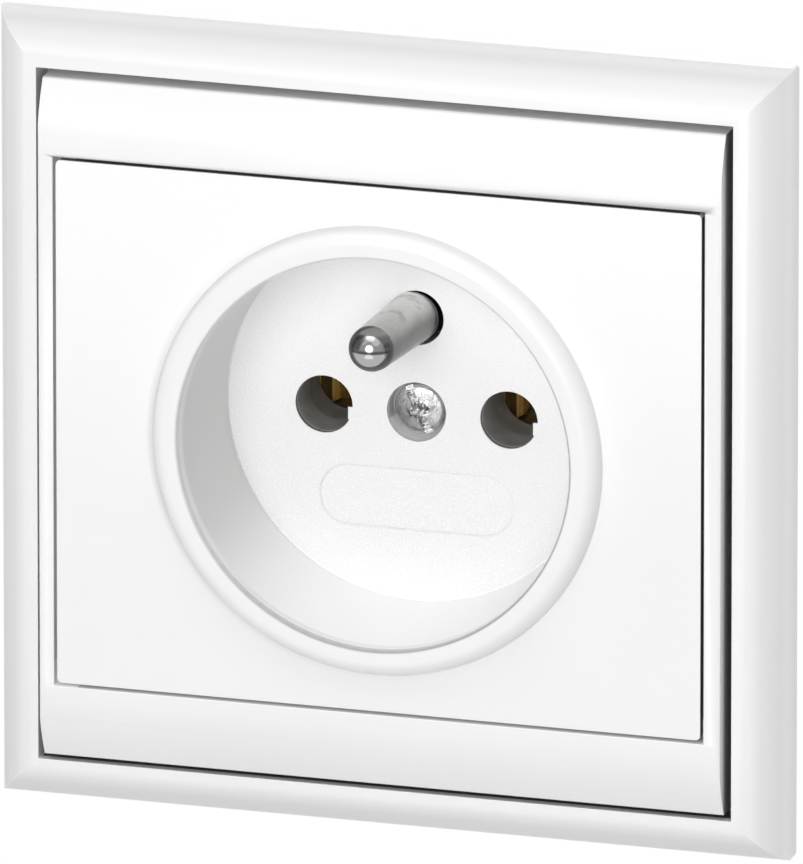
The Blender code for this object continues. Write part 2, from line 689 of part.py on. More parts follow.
def drive(name, reach, top, depth, turns, place=(0, 0)):
    """Bars across a screw head, which cut its slot or cross."""
    bars = []
    for i, turn in enumerate(turns):
        angle = math.radians(SLOT_ANGLE + turn)
        along = Vector((math.cos(angle), math.sin(angle))) * reach
        across = Vector((-math.sin(angle), math.cos(angle))) * SLOT_WIDTH / 2
        loop = [along + across, across - along, -along - across, along - across]
        loop = [(x + place[0], y + place[1]) for x, y in loop]
        bars.append(prism(f"{name}_{i}", [loop], top - depth, top + STEP, cutters))
    join(bars[0], *bars[1:])
    return bars[0]


# Mechanism


def threaded_insert():
    front = STRAP_BACK - SEAT
    back = front - INSERT_LENGTH
    waist = INSERT_RADIUS - INSERT_GROOVE
    bore = SCREW_RADIUS + SEAT
    third = INSERT_LENGTH / 3
    line = [(bore, front), (INSERT_RADIUS, front), (INSERT_RADIUS, front - third)]
    line += [(waist, front - third), (waist, back + third), (INSERT_RADIUS, back + third)]
    line += [(INSERT_RADIUS, back), (bore, back)]
    insert = turned("threaded_insert", line, SCREW_SEGMENTS, closed=True)
    insert.data.materials.append(brass("threaded_insert"))


def base_outline(shrink=0.0):
    return rounded_rectangle(
        BASE_WIDTH - 2 * shrink, BASE_TALL - 2 * shrink, BASE_CORNER_RADIUS - shrink, count=6
    )


def terminals():
    """The three terminal places, and the wire entries of each."""
    return [(0, -TERMINAL_DROP)] + [(side * PIN_SPACING / 2, -TERMINAL_DROP) for side in SIDES.values()]


def contact_cover():
    """The dark cover over the contacts, with a sleeve for each pin."""
    pins = [(side * PIN_SPACING / 2, 0) for side in SIDES.values()]
    cover = prism("contact_cover", [base_outline()], COVER_BACK, COVER_LEVEL)
    sleeve_front = FLOOR_LEVEL - PIN_HOLE_LIP - SEAT
    join(cover, rods("sleeves", pins, SLEEVE_RADIUS, SLEEVE_BACK, sleeve_front, cutters))
    front, back = sleeve_front + STEP, SLEEVE_BACK - STEP
    cut(cover, rods("sleeve_bores", pins, PIN_HOLE_RADIUS, back, front, cutters))
    step = FLOOR_LEVEL - SLEEVE_DEPTH
    cut(cover, rods("sleeve_steps", pins, PIN_HOLE_RADIUS + SLEEVE_STEP, back, step, cutters))
    low, high = COVER_BACK - STEP, COVER_LEVEL + STEP
    cut(cover, rods("boss_hole", [(0, 0)], BOSS_RADIUS + SEAT, low, high, cutters))
    cut(cover, rods("earth_passage", [(0, EARTH_HEIGHT)], EARTH_HOLE_RADIUS, low, high, cutters))
    cut(cover, rods("screw_access", terminals(), ACCESS_RADIUS, low, high, cutters, SCREW_SEGMENTS))
    cover.data.materials.append(graphite_plastic("contact_cover"))


def socket_base():
    """The housing behind: two contact chambers, three terminal chambers and the wire entries."""
    base = prism("socket_base", [base_outline()], BASE_BACK, BASE_LEVEL)
    bevel(base, BASE_EDGE_ROUNDING, 2)
    foot = LEG_OFFSET + BRIDGE_SHEET / 2 + FOOT_REACH
    ears = rounded_rectangle(2 * foot, LEG_WIDTH, BEND_RADIUS)
    join(base, prism("ears", [ears], EAR_LEVEL - EAR_THICKNESS, EAR_LEVEL, cutters))
    top = BASE_LEVEL + STEP
    floor = BASE_BACK + BASE_FLOOR
    chambers, rooms = [], []
    for side in SIDES.values():
        x = side * PIN_SPACING / 2
        a, b = x - CHAMBER_WIDTH / 2, x + CHAMBER_WIDTH / 2
        chambers.append(((a, -CHAMBER_TALL / 2, floor), (b, CHAMBER_TALL / 2, top)))
    for x, y in terminals():
        low = (x - TERMINAL_WIDTH / 2, y - TERMINAL_TALL / 2, BASE_LEVEL - TERMINAL_DEPTH)
        rooms.append((low, (x + TERMINAL_WIDTH / 2, y + TERMINAL_TALL / 2, top)))
    cut(base, boxes("contact_chambers", chambers, cutters), boxes("terminal_rooms", rooms, cutters))
    cut(base, tail_channels(), strap_channel(), wire_entries())
    insert_back = STRAP_BACK - 2 * SEAT - INSERT_LENGTH
    cut(base, rods("insert_bed", [(0, 0)], INSERT_RADIUS + SEAT, insert_back, top, cutters, SCREW_SEGMENTS))
    rivets = [(side * rivet_offset(), 0) for side in (-1, 1)]
    low, high = EAR_LEVEL - EAR_THICKNESS - STEP, EAR_LEVEL + STEP
    cut(base, rods("ear_holes", rivets, RIVET_RADIUS + SEAT, low, high, cutters, SCREW_SEGMENTS))
    base.data.materials.append(cream_plastic("socket_base"))


def tail_channels():
    """The way from each contact chamber down to its terminal room."""
    extents = []
    for side in SIDES.values():
        inner = side * (PIN_SPACING / 2 + CONTACT_FOOT - 2 * SEAT)
        outer = side * (PIN_SPACING / 2 + CHAMBER_WIDTH / 2 - SEAT / 2)
        a, b = sorted((inner, outer))
        bottom = -TERMINAL_DROP - STEP
        extents.append(((a, bottom, CONTACT_BACK - 2 * SEAT), (b, 0, BASE_LEVEL + STEP)))
    return boxes("tail_channels", extents, cutters)


def strap_channel():
    half = STRAP_WIDTH / 2 + SEAT
    high = EARTH_HEIGHT + STRAP_END + SEAT
    strip = ((-half, -TERMINAL_DROP, STRAP_BACK - SEAT), (half, high, BASE_LEVEL + 2 * STEP))
    channel = boxes("strap_channel", [strip], cutters)
    bed = STRAP_BACK - 2 * SEAT - EARTH_TAIL_HEIGHT
    radius = EARTH_TAIL_RADIUS + SEAT
    join(channel, rods("tail_bed", [(0, EARTH_HEIGHT)], radius, bed, STRAP_LEVEL, cutters))
    return channel


def wire_entries():
    """Two holes through the bottom wall for the wires of each terminal."""
    level = TAB_LEVEL + WIRE_SPACE / 2
    holes = [(x + way * WIRE_SPACING / 2, level) for x, y in terminals() for way in (-1, 1)]
    loops = [circle(WIRE_HOLE_RADIUS, place, 20) for place in holes]
    low, high = TERMINAL_DROP, BASE_TALL / 2 + STEP
    return prism("wire_entries", loops, low, high, cutters, ALONG_Y)


def contact_path():
    """A sprung U that a pin spreads: flared mouth, pinch and foot."""
    pinch = CONTACT_FRONT - CONTACT_PINCH_DEPTH
    back = CONTACT_BACK + CONTACT_SHEET / 2
    edge = CONTACT_SHEET / 2
    half = [(CONTACT_MOUTH + edge, CONTACT_FRONT), (CONTACT_PINCH + edge, pinch)]
    half.append((CONTACT_FOOT + edge, back))
    return filleted(half + [(-x, z) for x, z in half[::-1]], BEND_RADIUS)


def contact(name, side):
    """A brass contact, with a tail that runs down to its terminal tab."""
    axis = side * PIN_SPACING / 2
    placement = Matrix.Translation((axis, 0, 0)) @ ALONG_Y
    fork = ribbon(name, contact_path(), CONTACT_TALL, CONTACT_SHEET, placement)
    inner = side * (PIN_SPACING / 2 + CONTACT_FOOT + SEAT / 2)
    outer = inner + side * TAIL_SHEET
    tab_top = -TERMINAL_DROP + TAB_LENGTH / 2
    tab_end = -TERMINAL_DROP - TAB_LENGTH / 2
    back = CONTACT_BACK + SEAT / 2
    elbow = back + TAIL_TALL
    line = [(-CONTACT_TALL / 4, back), (-CONTACT_TALL / 4, elbow), (tab_top, elbow)]
    line += [(tab_top, TAB_LEVEL - SEAT / 2), (tab_end + SEAT / 2, TAB_LEVEL - SEAT / 2)]
    line += [(tab_end + SEAT / 2, TAB_LEVEL - TAIL_SHEET), (tab_top, back)]
    low, high = sorted((inner, outer))
    tail = prism(f"{name}_tail", [line], low, high, cutters, ALONG_X)
    near = side * (PIN_SPACING / 2 - CLAMP_SIDE / 2)
    low, high = sorted((near, outer - side * SEAT / 2))
    plate = [(low, tab_end, TAB_LEVEL - TAIL_SHEET), (high, tab_top, TAB_LEVEL)]
    tab = boxes(f"{name}_tab", [plate], cutters)
    join(tab, tail)
    join(fork, tab)
    hole = [(axis, -TERMINAL_DROP)]
    low = TAB_LEVEL - 2 * TAIL_SHEET
    cut(fork, rods(f"{name}_thread", hole, CLEAR_RADIUS, low, TAB_LEVEL + STEP, cutters, SCREW_SEGMENTS))
    fork.data.materials.append(brass(name))


def contact_clip(name, side):
    """A spring clip round the fork, open at the top."""
    width = CONTACT_MOUTH + CONTACT_SHEET + SEAT + CLIP_SHEET / 2
    tall = CONTACT_TALL / 2 + SEAT + CLIP_SHEET / 2
    gap = CLIP_GAP / 2
    path = [(-gap, tall), (-width, tall), (-width, -tall), (width, -tall), (width, tall), (gap, tall)]
    level = CONTACT_FRONT - CONTACT_PINCH_DEPTH
    placement = Matrix.Translation((side * PIN_SPACING / 2, 0, level))
    clip = ribbon(name, filleted(path, BEND_RADIUS), CLIP_LENGTH, CLIP_SHEET, placement)
    clip.data.materials.append(spring_steel(name))


def earth_pin():
    """A turned pin with a round end, riveted through the strap. It leans a little from its rivet."""
    neck = STRAP_LEVEL + SEAT
    tip = FLOOR_LEVEL + EARTH_PIN_REACH
    head = STRAP_BACK - SEAT
    tail = head - EARTH_TAIL_HEIGHT
    line = arc((0, tip - EARTH_PIN_RADIUS), EARTH_PIN_RADIUS, 90, 0, 8)
    line += [(EARTH_PIN_RADIUS, neck), (EARTH_NECK_RADIUS, neck), (EARTH_NECK_RADIUS, head)]
    line += [(EARTH_TAIL_RADIUS, head), (EARTH_TAIL_RADIUS, tail), (0, tail)]
    foot = (STRAP_LEVEL + STRAP_BACK) / 2
    line = [(0, line[0][1])] + line[1:]
    pin = turned("earth_pin", [(x, z - foot) for x, z in line], SCREW_SEGMENTS)
    pin.location = (0, EARTH_HEIGHT, foot)
    pin.rotation_euler = (0, math.radians(-EARTH_PIN_LEAN), 0)
    pin.data.materials.append(nickel("earth_pin"))


def earth_strap():
    """A bent strip from the earth pin, past the centre screw, down to the earth terminal."""
    middle = (STRAP_LEVEL + STRAP_BACK) / 2
    tab = TAB_LEVEL - TAIL_SHEET / 2
    bend = -TERMINAL_DROP + TAB_LENGTH / 2 + TAIL_SHEET / 2
    path = [(EARTH_HEIGHT + STRAP_END, middle), (bend, middle), (bend, tab)]
    path.append((-TERMINAL_DROP - TAB_LENGTH / 2, tab))
    strap = ribbon("earth_strap", filleted(path, BEND_RADIUS), STRAP_WIDTH, TAIL_SHEET, ALONG_X)
    low, high = STRAP_BACK - STEP, STRAP_LEVEL + STEP
    neck, shank = EARTH_NECK_RADIUS + SEAT, SCREW_RADIUS + 2 * SEAT
    cut(strap, rods("rivet_hole", [(0, EARTH_HEIGHT)], neck, low, high, cutters, SCREW_SEGMENTS))
    cut(strap, rods("screw_passage", [(0, 0)], shank, low, high, cutters, SCREW_SEGMENTS))
    low, high = TAB_LEVEL - TAIL_SHEET - STEP, TAB_LEVEL + STEP
    hole = [(0, -TERMINAL_DROP)]
    cut(strap, rods("earth_thread", hole, CLEAR_RADIUS, low, high, cutters, SCREW_SEGMENTS))
    strap.data.materials.append(brass("earth_strap"))


def terminal(name, place):
    """A clamp plate and the slotted screw that presses it on the wires."""
    outline = rectangle(CLAMP_SIDE, CLAMP_SIDE, place)
    hole = circle(CLEAR_RADIUS, place, SCREW_SEGMENTS)
    clamp = prism(f"{name}_clamp", [outline, hole], CLAMP_BACK, CLAMP_LEVEL)
    clamp.data.materials.append(zinc_steel(f"{name}_clamp"))
    under = CLAMP_LEVEL + SEAT
    top = under + TERMINAL_HEAD_HEIGHT
    tip = under - TERMINAL_SCREW_REACH
    edge = TERMINAL_HEAD_HEIGHT / 4
    line = [(0, top), (TERMINAL_HEAD_RADIUS - edge, top), (TERMINAL_HEAD_RADIUS, top - edge)]
    line += [(TERMINAL_HEAD_RADIUS, under), (TERMINAL_SCREW_RADIUS, under)]
    line.append((TERMINAL_SCREW_RADIUS, tip + edge))
    line += [(TERMINAL_SCREW_RADIUS - edge, tip), (0, tip)]
    screw = turned(f"{name}_terminal_screw", line, SCREW_SEGMENTS)
    screw.location = (*place, 0)
    slot = drive(f"{name}_slot", TERMINAL_HEAD_RADIUS + STEP, top, SLOT_DEPTH, (0,), place)
    cut(screw, slot)
    screw.data.materials.append(zinc_steel(f"{name}_terminal_screw"))


# Bridge


def rivet_offset():
    return LEG_OFFSET + BRIDGE_SHEET / 2 + FOOT_REACH / 2 + SEAT


def bridge_window():
    """A round window with a notch at each side, from which the legs are folded."""
    half, side = LEG_WIDTH / 2, LEG_WIDTH / 2 + LEG_RELIEF
    start = math.degrees(math.asin(side / BRIDGE_WINDOW_RADIUS))
    top = arc((0, 0), BRIDGE_WINDOW_RADIUS, start, 180 - start, 28)
    line = [(NOTCH, half), (NOTCH, side)] + top + [(-NOTCH, side), (-NOTCH, half)]
    return line + [(-x, -y) for x, y in line]


def bridge_outline():
    half, corner = BRIDGE_SIDE / 2, BRIDGE_SIDE / 2 - BRIDGE_CORNER
    quarter = [(half, corner), (corner, half), (-corner, half), (-half, corner)]
    return quarter + [(-x, -y) for x, y in quarter]


def hook_window(x, end):
    """A rectangle through which a hook of the middle frame passes."""
    low, high = HOOK_SIDE - HOOK_LEG - HOOK_PLAY, HOOK_SIDE + HOOK_REACH + HOOK_PLAY
    centre = (x, end * (low + high) / 2 - MIDDLE_DROP)
    return rectangle(HOOK_WIDTH + 2 * HOOK_PLAY, high - low, centre)


def mounting_bridge():
    """One sheet: a flat plate whose two legs fold back to carry the base on their feet."""
    reach = SLOT_SPACING / 2
    loops = [bridge_outline(), bridge_window()]
    for side in (-1, 1):
        loops.append(stadium(FIXING_SLOT_LENGTH, FIXING_SLOT_WIDTH, (side * reach, 0), upright=True))
        loops.append(stadium(FIXING_SLOT_LENGTH, FIXING_SLOT_WIDTH, (0, side * reach)))
        loops += [hook_window(side * HOOK_OFFSET, end) for end in (-1, 1)]
    bridge = filled("mounting_bridge", loops, 0, Matrix.Translation((0, 0, BRIDGE_SHEET / 2)), None)
    fold_legs(bridge)
    thicken(bridge, BRIDGE_SHEET)
    holes = [(side * rivet_offset(), 0) for side in (-1, 1)]
    low, high = FOOT_BACK - STEP, FOOT_BACK + BRIDGE_SHEET + STEP
    cut(bridge, rods("foot_holes", holes, RIVET_RADIUS + SEAT, low, high, cutters, SCREW_SEGMENTS))
    bridge.data.materials.append(zinc_steel("mounting_bridge"))


def fold_legs(bridge):
    """Draws each notch's edge back to a leg and out to a foot."""
    drop = FOOT_BACK
    shape = bmesh.new()
    shape.from_mesh(bridge.data)
    for side in (-1, 1):
        corners = [v for v in shape.verts if abs(v.co.x - side * NOTCH) < STEP / 10]
        corners = [v for v in corners if abs(abs(v.co.y) - LEG_WIDTH / 2) < STEP / 10]
        edge = [e for e in shape.edges if set(e.verts) == set(corners)]
        inward = side * (LEG_OFFSET - NOTCH)
        outward = inward + side * (FOOT_REACH + BRIDGE_SHEET / 2)
        path = filleted([(0, 0), (inward, 0), (inward, drop), (outward, drop)], BEND_RADIUS)
        for (x0, z0), (x1, z1) in zip(path, path[1:]):
            grown = bmesh.ops.extrude_edge_only(shape, edges=edge)["geom"]
            verts = [item for item in grown if isinstance(item, bmesh.types.BMVert)]
            bmesh.ops.translate(shape, verts=verts, vec=(x1 - x0, 0, z1 - z0))
            edge = [item for item in grown if isinstance(item, bmesh.types.BMEdge)]
            edge = [e for e in edge if all(v in verts for v in e.verts)]
    bmesh.ops.recalc_face_normals(shape, faces=shape.faces)
    shape.to_mesh(bridge.data)
    shape.free()


def rivet(name, side):
    front = FOOT_BACK + BRIDGE_SHEET + SEAT
    back = EAR_LEVEL - EAR_THICKNESS - SEAT
    edge = RIVET_HEAD_HEIGHT / 2
    line = [(0, front + RIVET_HEAD_HEIGHT), (RIVET_HEAD_RADIUS - edge, front + RIVET_HEAD_HEIGHT)]
    line += [(RIVET_HEAD_RADIUS, front + edge), (RIVET_HEAD_RADIUS, front), (RIVET_RADIUS, front)]
    line += [(RIVET_RADIUS, back), (RIVET_HEAD_RADIUS, back), (RIVET_HEAD_RADIUS, back - edge)]
    line += [(RIVET_HEAD_RADIUS - edge, back - RIVET_HEAD_HEIGHT), (0, back - RIVET_HEAD_HEIGHT)]
    piece = turned(name, line, SCREW_SEGMENTS)
    piece.location = (side * rivet_offset(), 0, 0)
    piece.data.materials.append(zinc_steel(name))


clear_scene()
parts = new_collection("wall_socket")
cutters = new_collection("cutters")
cutters.hide_render = True
wall = wall_plane()

outer_frame()
middle_frame()
centre_plate()
centre_screw()
threaded_insert()
contact_cover()
socket_base()
for key, way in SIDES.items():
    contact(f"{key}_contact", way)
    contact_clip(f"{key}_contact_clip", way)
    terminal(key, (way * PIN_SPACING / 2, -TERMINAL_DROP))
earth_pin()
earth_strap()
terminal("earth", (0, -TERMINAL_DROP))
mounting_bridge()
rivet("left_rivet", -1)
rivet("right_rivet", 1)
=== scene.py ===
import math

import bmesh
import bpy
from mathutils import Matrix, Vector


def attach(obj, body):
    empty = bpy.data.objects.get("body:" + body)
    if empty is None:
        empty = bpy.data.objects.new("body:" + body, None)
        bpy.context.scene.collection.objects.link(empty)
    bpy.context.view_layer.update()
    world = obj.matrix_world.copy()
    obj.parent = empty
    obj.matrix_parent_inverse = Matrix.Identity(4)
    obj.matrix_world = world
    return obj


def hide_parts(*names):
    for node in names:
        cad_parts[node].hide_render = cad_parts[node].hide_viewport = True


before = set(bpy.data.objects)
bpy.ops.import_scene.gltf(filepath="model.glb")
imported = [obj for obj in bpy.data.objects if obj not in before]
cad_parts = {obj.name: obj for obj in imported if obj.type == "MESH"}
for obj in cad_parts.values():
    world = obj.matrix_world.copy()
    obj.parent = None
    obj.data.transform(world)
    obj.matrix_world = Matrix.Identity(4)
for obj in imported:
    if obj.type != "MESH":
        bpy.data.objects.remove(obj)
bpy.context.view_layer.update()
print("frame loaded:", len(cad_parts), "nodes")

mm = 0.001
scene = bpy.context.scene
scene.view_settings.view_transform = "Standard"


# camera, in the direction that a fit to the photograph gave, and somewhat nearer

cameraSizes = {
    "azimuth": 16.65,
    "elevation": 17.18,
    "distance": 3.0,
    "target": (1.819 * mm, -6.0 * mm, 1.4215 * mm),
    "pixelsPerMm": 10.1929,
    "imageWidth": 803,
    "sensorWidth": 36.0,
}


def outwards(azimuth, elevation):  # a unit vector; the front is at azimuth 0
    a, e = math.radians(azimuth), math.radians(elevation)
    return Vector((math.sin(a) * math.cos(e), -math.cos(a) * math.cos(e), math.sin(e)))


def makeCamera(sizes):
    back = outwards(sizes["azimuth"], sizes["elevation"])
    camera = bpy.data.cameras.new("camera")
    camera.sensor_fit = "HORIZONTAL"
    camera.sensor_width = sizes["sensorWidth"]
    focal = sizes["pixelsPerMm"] * sizes["distance"] / mm  # in pixels
    camera.lens = sizes["sensorWidth"] * focal / sizes["imageWidth"]
    holder = bpy.data.objects.new("camera", camera)
    scene.collection.objects.link(holder)
    holder.location = Vector(sizes["target"]) + back * sizes["distance"]
    holder.rotation_mode = "QUATERNION"
    holder.rotation_quaternion = (-back).to_track_quat("-Z", "Y")
    scene.camera = holder


makeCamera(cameraSizes)
print("camera set")


# nodes as Python expressions, for shaders and for geometry

class Val:  # one socket, with arithmetic
    def __init__(self, nodes, socket):
        self.nodes, self.socket = nodes, socket

    def __add__(self, other):
        return self.nodes.calc("ADD", self, other)

    def __radd__(self, other):
        return self.nodes.calc("ADD", other, self)

    def __sub__(self, other):
        return self.nodes.calc("SUBTRACT", self, other)

    def __rsub__(self, other):
        return self.nodes.calc("SUBTRACT", other, self)

    def __mul__(self, other):
        return self.nodes.calc("MULTIPLY", self, other)

    def __rmul__(self, other):
        return self.nodes.calc("MULTIPLY", other, self)

    def __truediv__(self, other):
        return self.nodes.calc("DIVIDE", self, other)

    def __rtruediv__(self, other):
        return self.nodes.calc("DIVIDE", other, self)

    def __pow__(self, other):
        return self.nodes.calc("POWER", self, other)

    def __gt__(self, other):
        return self.nodes.calc("GREATER_THAN", self, other)

    def __lt__(self, other):
        return self.nodes.calc("LESS_THAN", self, other)

    def __neg__(self):
        return self.nodes.calc("MULTIPLY", self, -1.0)

    def __abs__(self):
        return self.nodes.calc("ABSOLUTE", self)

    def high(self, other):
        return self.nodes.calc("MAXIMUM", self, other)


class Nodes:  # a node tree that grows by calls of add
    def __init__(self, tree):
        self.tree = tree

    def add(self, kind, settings=None, sockets=None, take=0):
        node = self.tree.nodes.new(kind)
        for key, value in (settings or {}).items():
            setattr(node, key, value)
        for key, value in (sockets or {}).items():
            for one in value if isinstance(value, list) else [value]:
                self.fill(node.inputs[key], one)
        return Val(self, node.outputs[take])

    def fill(self, socket, value):
        if isinstance(value, Val):
            self.tree.links.new(value.socket, socket)
        elif isinstance(value, tuple) and socket.type == "RGBA":
            socket.default_value = (*value, 1)
        else:
            socket.default_value = value

    def calc(self, operation, *values):
        return self.add("ShaderNodeMath", {"operation": operation}, dict(enumerate(values)))

    def parts(self, vector):
        split = self.add("ShaderNodeSeparateXYZ", {}, {0: vector}).socket.node
        return [Val(self, split.outputs[i]) for i in range(3)]

    def join(self, x, y, z):
        return self.add("ShaderNodeCombineXYZ", {}, {0: x, 1: y, 2: z})

    def hypot(self, a, b):
        return (a * a + b * b) ** 0.5

    def span(self, value, low, high, toLow=0.0, toHigh=1.0):
        return self.add("ShaderNodeMapRange", {"interpolation_type": "SMOOTHSTEP"}, {
            "Value": value, "From Min": low, "From Max": high, "To Min": toLow, "To Max": toHigh})

    def fade(self, value, low, high):  # 1 up to low, 0 from high on
        return self.span(value, low, high, 1.0, 0.0)

    def band(self, value, middle, reach):  # 1 on the middle, 0 from the reach on
        return self.fade(abs(value - middle), 0.0, reach)

    def zigzag(self, value):  # 1 at whole numbers, 0 halfway
        return abs(self.calc("FRACT", value) - 0.5) * 2


class Finish(Nodes):  # one material and its nodes
    def __init__(self, name):
        self.material = bpy.data.materials.new(name)
        self.material.use_nodes = True
        super().__init__(self.material.node_tree)
        self.tree.nodes.clear()
        self.output = self.tree.nodes.new("ShaderNodeOutputMaterial")

    def place(self, scale=(1, 1, 1)):
        spot = self.add("ShaderNodeTexCoord", take="Object")
        return self.add("ShaderNodeMapping", {}, {"Vector": spot, "Scale": scale})

    def axes(self):
        return self.parts(self.add("ShaderNodeTexCoord", take="Object"))

    def noise(self, scale, detail=2.0, rough=0.5, place=None):
        return self.add("ShaderNodeTexNoise", {}, {
            "Vector": place or self.place(), "Scale": scale, "Detail": detail, "Roughness": rough})

    def mix(self, factor, first, second):
        return self.add("ShaderNodeMix", {"data_type": "RGBA"}, {0: factor, 6: first, 7: second}, take=2)

    def bump(self, height, depth, normal=None):
        sockets = {"Height": height, "Distance": depth, "Strength": 1.0}
        if normal:
            sockets["Normal"] = normal
        return self.add("ShaderNodeBump", {}, sockets)

    def surface(self, **sockets):
        named = {key.replace("_", " "): value for key, value in sockets.items()}
        shader = self.add("ShaderNodeBsdfPrincipled", {}, named)
        self.tree.links.new(shader.socket, self.output.inputs["Surface"])
        return self.material


class Recipe(Nodes):  # one geometry node group, with named inputs
    kinds = {float: "NodeSocketFloat", int: "NodeSocketInt"}

    def __init__(self, name, values):
        super().__init__(bpy.data.node_groups.new(name, "GeometryNodeTree"))
        face = self.tree.interface
        face.new_socket("Geometry", in_out="OUTPUT", socket_type="NodeSocketGeometry")
        for key, value in values.items():
            face.new_socket(key, in_out="INPUT", socket_type=self.kinds[type(value)])
        face.new_socket("Material", in_out="INPUT", socket_type="NodeSocketMaterial")
        self.start = self.tree.nodes.new("NodeGroupInput")

    def take(self, key):
        return Val(self, self.start.outputs[key])

    def place(self):
        return self.parts(self.add("GeometryNodeInputPosition"))

    def shaped(self, mesh, x, y, z):
        return self.add("GeometryNodeSetPosition", {}, {0: mesh, "Position": self.join(x, y, z)})

    def moved(self, mesh, x=0.0, y=0.0, z=0.0, turn=0.0):
        return self.add("GeometryNodeTransform", {}, {
            0: mesh, "Translation": self.join(x, y, z), "Rotation": self.join(0.0, 0.0, turn)})

    def block(self, x, y, z):
        return self.add("GeometryNodeMeshCube", {}, {"Size": self.join(x, y, z)})

    def rod(self, around, along, rings, radius, height):
        return self.add("GeometryNodeMeshCylinder", {"fill_type": "NGON"}, {
            "Vertices": around, "Side Segments": along, "Fill Segments": rings,
            "Radius": radius, "Depth": height})

    def row(self, count, start, step, item):  # copies of the item along X
        first, offset = self.join(start, 0.0, 0.0), self.join(step, 0.0, 0.0)
        line = self.add("GeometryNodeMeshLine", {"mode": "OFFSET"}, {
            "Count": count, "Start Location": first, "Offset": offset})
        return self.add("GeometryNodeInstanceOnPoints", {}, {"Points": line, "Instance": item})

    def joined(self, *meshes):
        return self.add("GeometryNodeJoinGeometry", {}, {0: list(meshes)})

    def cut(self, mesh, *cutters):
        return self.add("GeometryNodeMeshBoolean", {"operation": "DIFFERENCE", "solver": "EXACT"}, {
            "Mesh 1": mesh, "Mesh 2": list(cutters)})

    def close(self, mesh):
        real = self.add("GeometryNodeRealizeInstances", {}, {0: mesh})
        dressed = self.add("GeometryNodeSetMaterial", {}, {0: real, "Material": self.take("Material")})
        end = self.tree.nodes.new("NodeGroupOutput")
        self.tree.links.new(dressed.socket, end.inputs[0])
        return self.tree


def grown(name, group, values, material):  # runs a recipe and keeps the plain mesh
    seed = bpy.data.objects.new(name + "Seed", bpy.data.meshes.new(name + "Seed"))
    scene.collection.objects.link(seed)
    steps = seed.modifiers.new("recipe", "NODES")
    steps.node_group = group
    sockets = {s.name: s.identifier for s in group.interface.items_tree if s.in_out == "INPUT"}
    for key, value in {**values, "Material": material}.items():
        steps[sockets[key]] = value
    mesh = bpy.data.meshes.new_from_object(seed.evaluated_get(bpy.context.evaluated_depsgraph_get()))
    bpy.data.objects.remove(seed)
    piece = bpy.data.objects.new(name, mesh)
    scene.collection.objects.link(piece)
    return piece


# white plastic, with painted shade mixed in by a shade function of its piece, and painted light, painted
# shade and finish added by a detail function

whiteSizes = {
    "white": (0.88, 0.88, 0.878),
    "cloudy": (0.865, 0.865, 0.862),
    "deep": (0.055, 0.055, 0.056),
    "clouds": 45,
    "grain": 2600.0,
    "grainDepth": 0.003 * mm,
    "roughness": 0.34,
    "cloudRoughness": 0.08,
    "grainRoughness": 0.06,
}


def whitePlastic(name, sizes, shade, detail=None):
    f = Finish(name)
    x, y, z = f.axes()
    cloud = f.noise(sizes["clouds"], 3)
    fleck = f.noise(sizes["grain"], 2, 0.6)
    colour = f.mix(f.span(cloud, 0.3, 0.7), sizes["white"], sizes["cloudy"])
    rough = sizes["roughness"] + (cloud - 0.5) * sizes["cloudRoughness"]
    rough = rough + (fleck - 0.5) * sizes["grainRoughness"]
    normal = f.bump(fleck, sizes["grainDepth"])
    # painted shade: the deep colour where the shade function gives it
    colour = f.mix(shade(f, x, y, z), colour, sizes["deep"])
    if detail:
        colour, rough, normal = detail(f, x, y, z, colour, rough, normal)
    return f.surface(Base_Color=colour, Roughness=rough, Normal=normal)


# outer frame: painted shade on the opening's walls and, a little, on the slope, and painted light on the
# rim

frameSizes = {
    "opening": 35.6 * mm,
    "play": 0.05 * mm,
    "skin": 0.1 * mm,  # the layer that counts as a wall of the opening
    "lip": -6.1 * mm,
    "wallFade": (0.02 * mm, 0.1 * mm),  # behind the lip
    "lowFade": 0.9 * mm,  # the low wall gets dark this much further in
    "wallShade": 0.95,
    "leftLess": 0.88,
    "topLess": 0.8,
    "slopeShade": 0.11,
    "slopeFrom": (-5.9 * mm, -4.9 * mm),
    "slopeTo": (-3.6 * mm, -2.4 * mm),
    "rimLight": 0.85,
    "rimFrom": (-3.2 * mm, -1.2 * mm),
    "rimWhite": (0.98, 0.98, 0.98),
}


def frameShade(f, x, y, z):
    sizes = frameSizes
    # painted shade: dark on the opening's walls behind the lip, less on the left and top walls, and a
    # little on the slope
    inside = abs(x).high(abs(z)) < sizes["opening"] + sizes["play"]
    wall = sizes["opening"] - sizes["skin"]
    left, top, low = x < -wall, z > wall, z < -wall
    start, full = sizes["wallFade"]
    depth = f.span(y - low * sizes["lowFade"], sizes["lip"] + start, sizes["lip"] + full)
    dark = sizes["wallShade"] - sizes["leftLess"] * left - sizes["topLess"] * top
    slope = f.span(y, *sizes["slopeFrom"]) * f.fade(y, *sizes["slopeTo"])
    return (inside * depth * dark).high((1 - inside) * slope * sizes["slopeShade"])


def framePaintedLight(f, x, y, z, colour, rough, normal):  # painted light: the rim is whitened as if it caught light from the wall behind
    sizes = frameSizes
    rim = f.span(y, *sizes["rimFrom"]) * sizes["rimLight"]
    return f.mix(rim, colour, sizes["rimWhite"]), rough, normal
